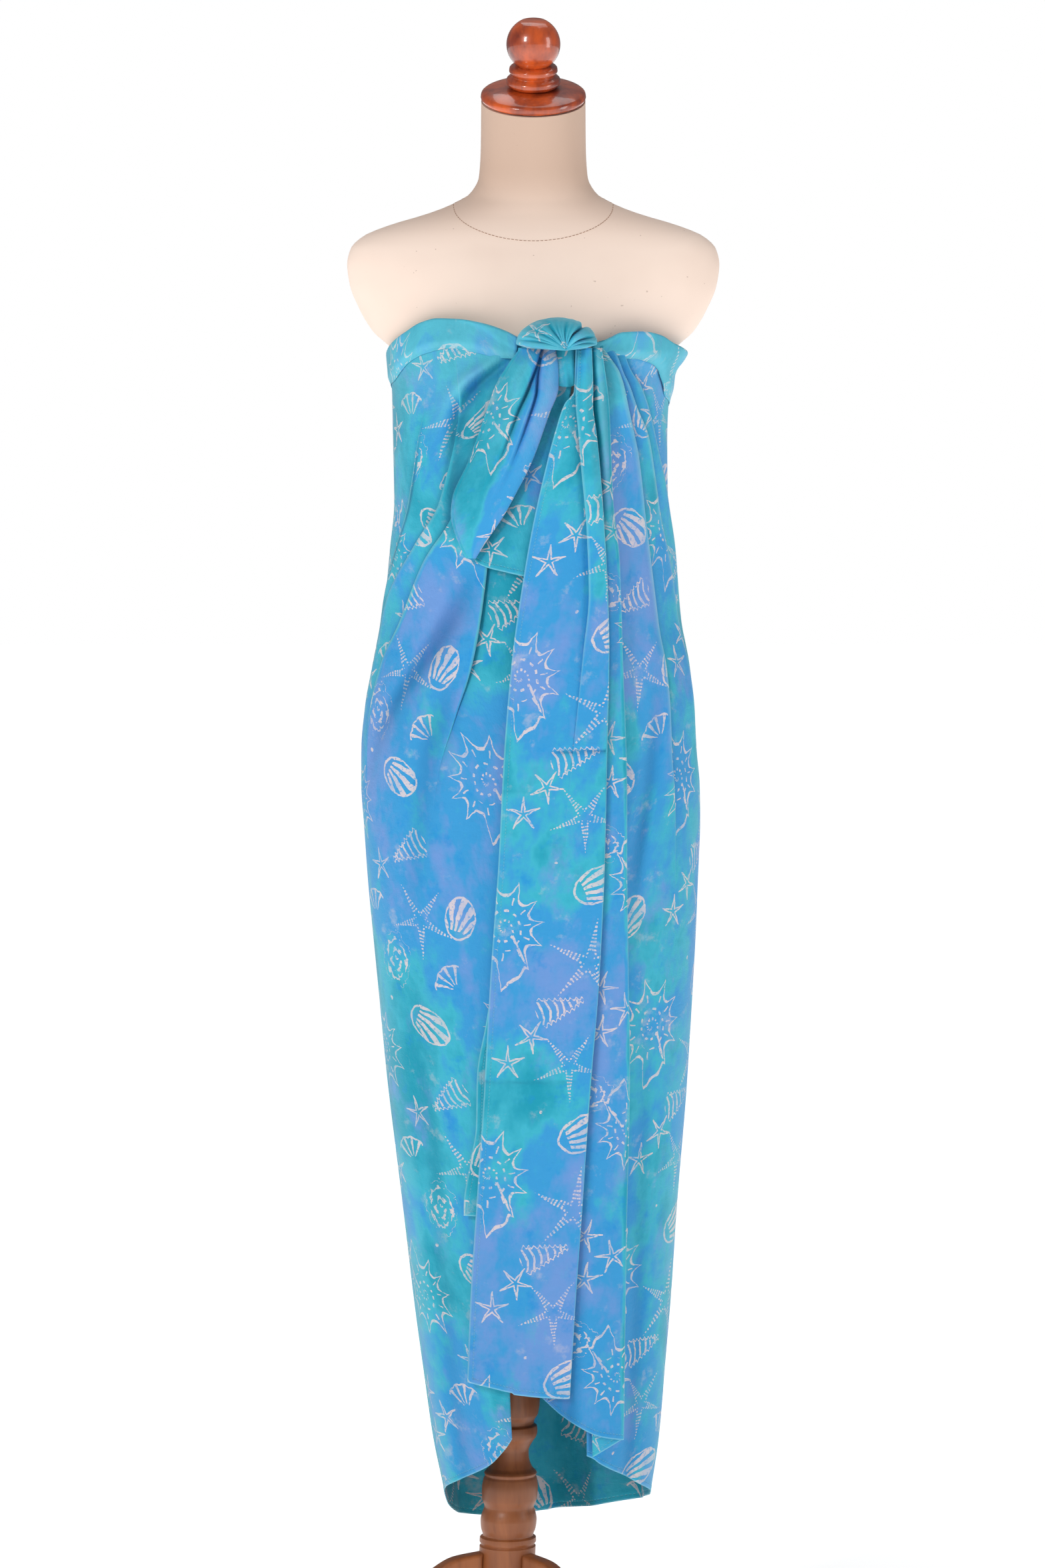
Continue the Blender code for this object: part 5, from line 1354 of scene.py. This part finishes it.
def wood_look(name, constants, light, dark, stretch, contrast, rough):
    """Turned wood whose grain runs up its axis."""
    look = Look(name, constants)
    place = look.node("ShaderNodeTexCoord", None, None, 3)
    warp = look.vector("MULTIPLY", look.noise(place, 9.0, 2.0, output=1), (0.02, 0.02, 0.02))
    along = look.vector("MULTIPLY", look.vector("ADD", place, warp), stretch)
    figure = look.noise(along, 30.0, 4.0, 0.6)
    pores = look.noise(along, 170.0, 2.0, 0.6)
    tone = look.blend(figure.rise(0.5 - contrast, 0.5 + contrast), opaque(light), opaque(dark))
    tone = look.blend(pores.rise(0.56, 0.74, 0.0, 0.25), tone, opaque(tuple(c * 0.5 for c in dark)))
    look.paint("Base Color", tone)
    look.paint("Roughness", rough + 0.14 * figure)
    look.bump(pores * 0.4 + figure * 0.6, 0.12, 0.0004)
    return look.material


def lacquer_look():
    """Glossy red-brown wood. Made once, and shared by the cap and the finial."""
    if "lacquered_cap" in bpy.data.materials:
        return bpy.data.materials["lacquered_cap"]
    colors = bpy.context.scene.sarong_colors
    constants = {"Coat Weight": 0.9, "Coat Roughness": 0.08, "Specular IOR Level": 0.5}
    return wood_look("lacquered_cap", constants, colors.lacquer, colors.lacquer_dark, (1.0, 1.0, 0.5), 0.22, 0.26)


def stand_look():
    """Satin brown wood. Made once, and shared by the stand's pieces."""
    if "turned_stand" in bpy.data.materials:
        return bpy.data.materials["turned_stand"]
    colors = bpy.context.scene.sarong_colors
    constants = {"Coat Weight": 0.25, "Coat Roughness": 0.3}
    return wood_look("turned_stand", constants, colors.wood, colors.wood_dark, (1.0, 1.0, 0.12), 0.30, 0.40)


def make_stage():
    """Camera at the photograph's angle, pale floor, white surroundings and soft lights."""
    scene = bpy.context.scene
    lens = bpy.data.cameras.new("camera")
    lens.lens = LENS_MM
    lens.sensor_fit = "VERTICAL"
    lens.sensor_width, lens.sensor_height = FRAME_MM
    lens.clip_end = SEEN_TO
    camera = bpy.data.objects.new("camera", lens)
    camera.location = Vector(EYE) + Vector(FORM_PLACE)
    camera.rotation_euler = (Vector(AIM) - Vector(EYE)).to_track_quat("-Z", "Y").to_euler()
    scene.collection.objects.link(camera)
    scene.camera = camera
    scene.view_settings.view_transform = "Standard"

    bm = bmesh.new()
    bmesh.ops.create_grid(bm, x_segments=2, y_segments=2, size=FLOOR_HALF)
    white = Look("pale_floor", {"Roughness": 0.9, "Emission Strength": 1.0})
    x, y, _ = white.parts(white.node("ShaderNodeTexCoord", None, None, 3))
    glow = (x * x + y * y).root().rise(*FLOOR_NEAR, *FLOOR_GLOW)
    white.paint("Base Color", (0.95, 0.95, 0.95, 1))
    white.paint("Emission Color", white.node("ShaderNodeCombineColor", None, {0: glow, 1: glow, 2: glow}))
    mesh = bpy.data.meshes.new("floor")
    bm.to_mesh(mesh)
    bm.free()
    mesh.materials.append(white.material)
    floor = bpy.data.objects.new("floor", mesh)
    floor.location.z = -FLOOR_DOWN
    scene.collection.objects.link(floor)

    world = bpy.data.worlds.new("studio")
    world.use_nodes = True
    nodes, links = world.node_tree.nodes, world.node_tree.links
    sky = nodes["Background"]
    sky.inputs["Color"].default_value = (1, 1, 1, 1)
    seen = nodes.new("ShaderNodeLightPath")
    level = nodes.new("ShaderNodeMapRange")
    level.inputs["To Min"].default_value = WORLD_GLOW
    level.inputs["To Max"].default_value = 1.0
    links.new(seen.outputs["Is Camera Ray"], level.inputs["Value"])
    links.new(level.outputs["Result"], sky.inputs["Strength"])
    scene.world = world
    for name, place, size, power in LIGHTS:
        lamp = bpy.data.lights.new(name, "AREA")
        lamp.shape = "RECTANGLE"
        lamp.size, lamp.size_y = size
        lamp.energy = power
        light = bpy.data.objects.new(name, lamp)
        light.location = place
        light.rotation_euler = (Vector(LIGHT_AIM) - Vector(place)).to_track_quat("-Z", "Y").to_euler()
        scene.collection.objects.link(light)


def size_property(name, about, default, low, high):
    return bpy.props.FloatProperty(name=name, description=about, default=default, min=low, max=high, unit="LENGTH",
                                   subtype="DISTANCE", precision=4)


def color_property(name, about, red, green, blue):
    return bpy.props.FloatVectorProperty(name=name, description=about, default=linear(red, green, blue), size=3,
                                         min=0.0, max=1.0, subtype="COLOR")


class SarongSizes(bpy.types.PropertyGroup):
    wall: size_property("Cloth", "Thickness of the cloth", 0.0008, 0.0004, 0.002)
    hem: size_property("Hem", "Width of the narrow stitched hems", 0.006, 0.003, 0.012)
    ripple: size_property("Ripple", "Height of the hanging cloth's gentle unevenness", 0.0009, 0.0, 0.003)


class SarongColors(bpy.types.PropertyGroup):
    turquoise: color_property("Turquoise", "Greenest of the dyes", 0, 152, 178)
    aqua: color_property("Aqua", "Pale green-blue dye", 54, 178, 202)
    sky: color_property("Sky", "Clear blue dye", 48, 152, 212)
    periwinkle: color_property("Periwinkle", "Violet-blue dye", 104, 150, 214)
    deep: color_property("Deep blue", "Blots of strong dye", 0, 140, 212)
    wax: color_property("Wax lines", "Undyed cloth under the wax", 224, 208, 208)
    # Painted highlight colour of hems and fold edges, also the colour of the hem stitches
    edge: color_property("Edges", "Folded edges and hems", 140, 214, 230)
    cover: color_property("Cover", "Cover of the dress form", 249, 227, 212)
    # Painted shade of the neck, and the deeper tone of the cover's mottling and of the thread's twist
    cover_mottle_and_shade: color_property("Cover, shaded", "Deeper tone of the cover", 198, 168, 148)
    thread: color_property("Thread", "Seam of the cover", 150, 112, 88)
    lacquer: color_property("Lacquer", "Cap and finial", 220, 94, 34)
    lacquer_dark: color_property("Lacquer, dark", "Dark figure in the lacquered wood", 108, 34, 24)
    wood: color_property("Stand", "Turned stand", 182, 108, 58)
    wood_dark: color_property("Stand, dark", "Dark grain of the stand", 132, 72, 36)


class SARONG_OT_stage(bpy.types.Operator):
    """Add the camera, the pale floor and the soft lights"""
    bl_idname = "sarong.stage"
    bl_label = "Stage"

    def execute(self, context):
        make_stage()
        return {"FINISHED"}


class SARONG_OT_torso(bpy.types.Operator):
    """Build the limbless dress form with its collar seam"""
    bl_idname = "sarong.torso"
    bl_label = "Dress form"

    def execute(self, context):
        make_torso()
        return {"FINISHED"}


class SARONG_OT_cap(bpy.types.Operator):
    """Build the turned cap and the finial"""
    bl_idname = "sarong.cap"
    bl_label = "Cap and finial"

    def execute(self, context):
        make_cap()
        return {"FINISHED"}


class SARONG_OT_stand(bpy.types.Operator):
    """Build the plate, the turned column and its three legs"""
    bl_idname = "sarong.stand"
    bl_label = "Stand"

    def execute(self, context):
        make_column()
        for number, turn in enumerate(LEG_TURNS, 1):
            make_leg(number, turn)
        return {"FINISHED"}


class SARONG_OT_wrap(bpy.types.Operator):
    """Wrap the cloth round the body: both fronts and the back"""
    bl_idname = "sarong.wrap"
    bl_label = "Wrap"

    def execute(self, context):
        make_wrap()
        return {"FINISHED"}


class SARONG_OT_top_fold(bpy.types.Operator):
    """Fold the top edge over outwards"""
    bl_idname = "sarong.top_fold"
    bl_label = "Folded top edge"

    def execute(self, context):
        make_band("top_fold_left", -SEAM_TURN, -7.5, TWIST_LEFT, 90)
        make_band("top_fold_right", 21.0, SEAM_TURN, TWIST_RIGHT, 72)
        make_band("top_fold_back", SEAM_TURN, 360 - SEAM_TURN, None, 110)
        return {"FINISHED"}


class SARONG_OT_ends(bpy.types.Operator):
    """Hang the long panel, the folded strip, the inner tail and the tied corner"""
    bl_idname = "sarong.ends"
    bl_label = "Hanging ends"

    def execute(self, context):
        make_panel()
        make_strip()
        make_ends()
        return {"FINISHED"}


class SARONG_OT_knot(bpy.types.Operator):
    """Tie the knot"""
    bl_idname = "sarong.knot"
    bl_label = "Knot"

    def execute(self, context):
        make_knot()
        return {"FINISHED"}


class SARONG_PT_sidebar(bpy.types.Panel):
    """Pieces, sizes and colours of the sarong"""
    bl_label = "Sarong"
    bl_idname = "SARONG_PT_sidebar"
    bl_space_type = "VIEW_3D"
    bl_region_type = "UI"
    bl_category = "Sarong"

    def draw(self, context):
        for kind in OPERATORS:
            self.layout.operator(kind.bl_idname)
        for group in (context.scene.sarong_sizes, context.scene.sarong_colors):
            for name in group.bl_rna.properties.keys():
                if name not in ("rna_type", "name"):
                    self.layout.prop(group, name)


OPERATORS = [SARONG_OT_stage, SARONG_OT_torso, SARONG_OT_cap, SARONG_OT_stand, SARONG_OT_knot, SARONG_OT_wrap,
             SARONG_OT_top_fold, SARONG_OT_ends]


def register():
    for kind in (SarongSizes, SarongColors, *OPERATORS, SARONG_PT_sidebar):
        bpy.utils.register_class(kind)
    bpy.types.Scene.sarong_sizes = bpy.props.PointerProperty(type=SarongSizes)
    bpy.types.Scene.sarong_colors = bpy.props.PointerProperty(type=SarongColors)


def unregister():
    del bpy.types.Scene.sarong_colors
    del bpy.types.Scene.sarong_sizes
    for kind in reversed((SarongSizes, SarongColors, *OPERATORS, SARONG_PT_sidebar)):
        bpy.utils.unregister_class(kind)


def main():
    register()
    bpy.ops.sarong.stage()
    bpy.ops.sarong.torso()
    bpy.ops.sarong.cap()
    bpy.ops.sarong.stand()
    bpy.ops.sarong.knot()
    bpy.ops.sarong.wrap()
    bpy.ops.sarong.top_fold()
    bpy.ops.sarong.ends()


if __name__ == "__main__":
    main()
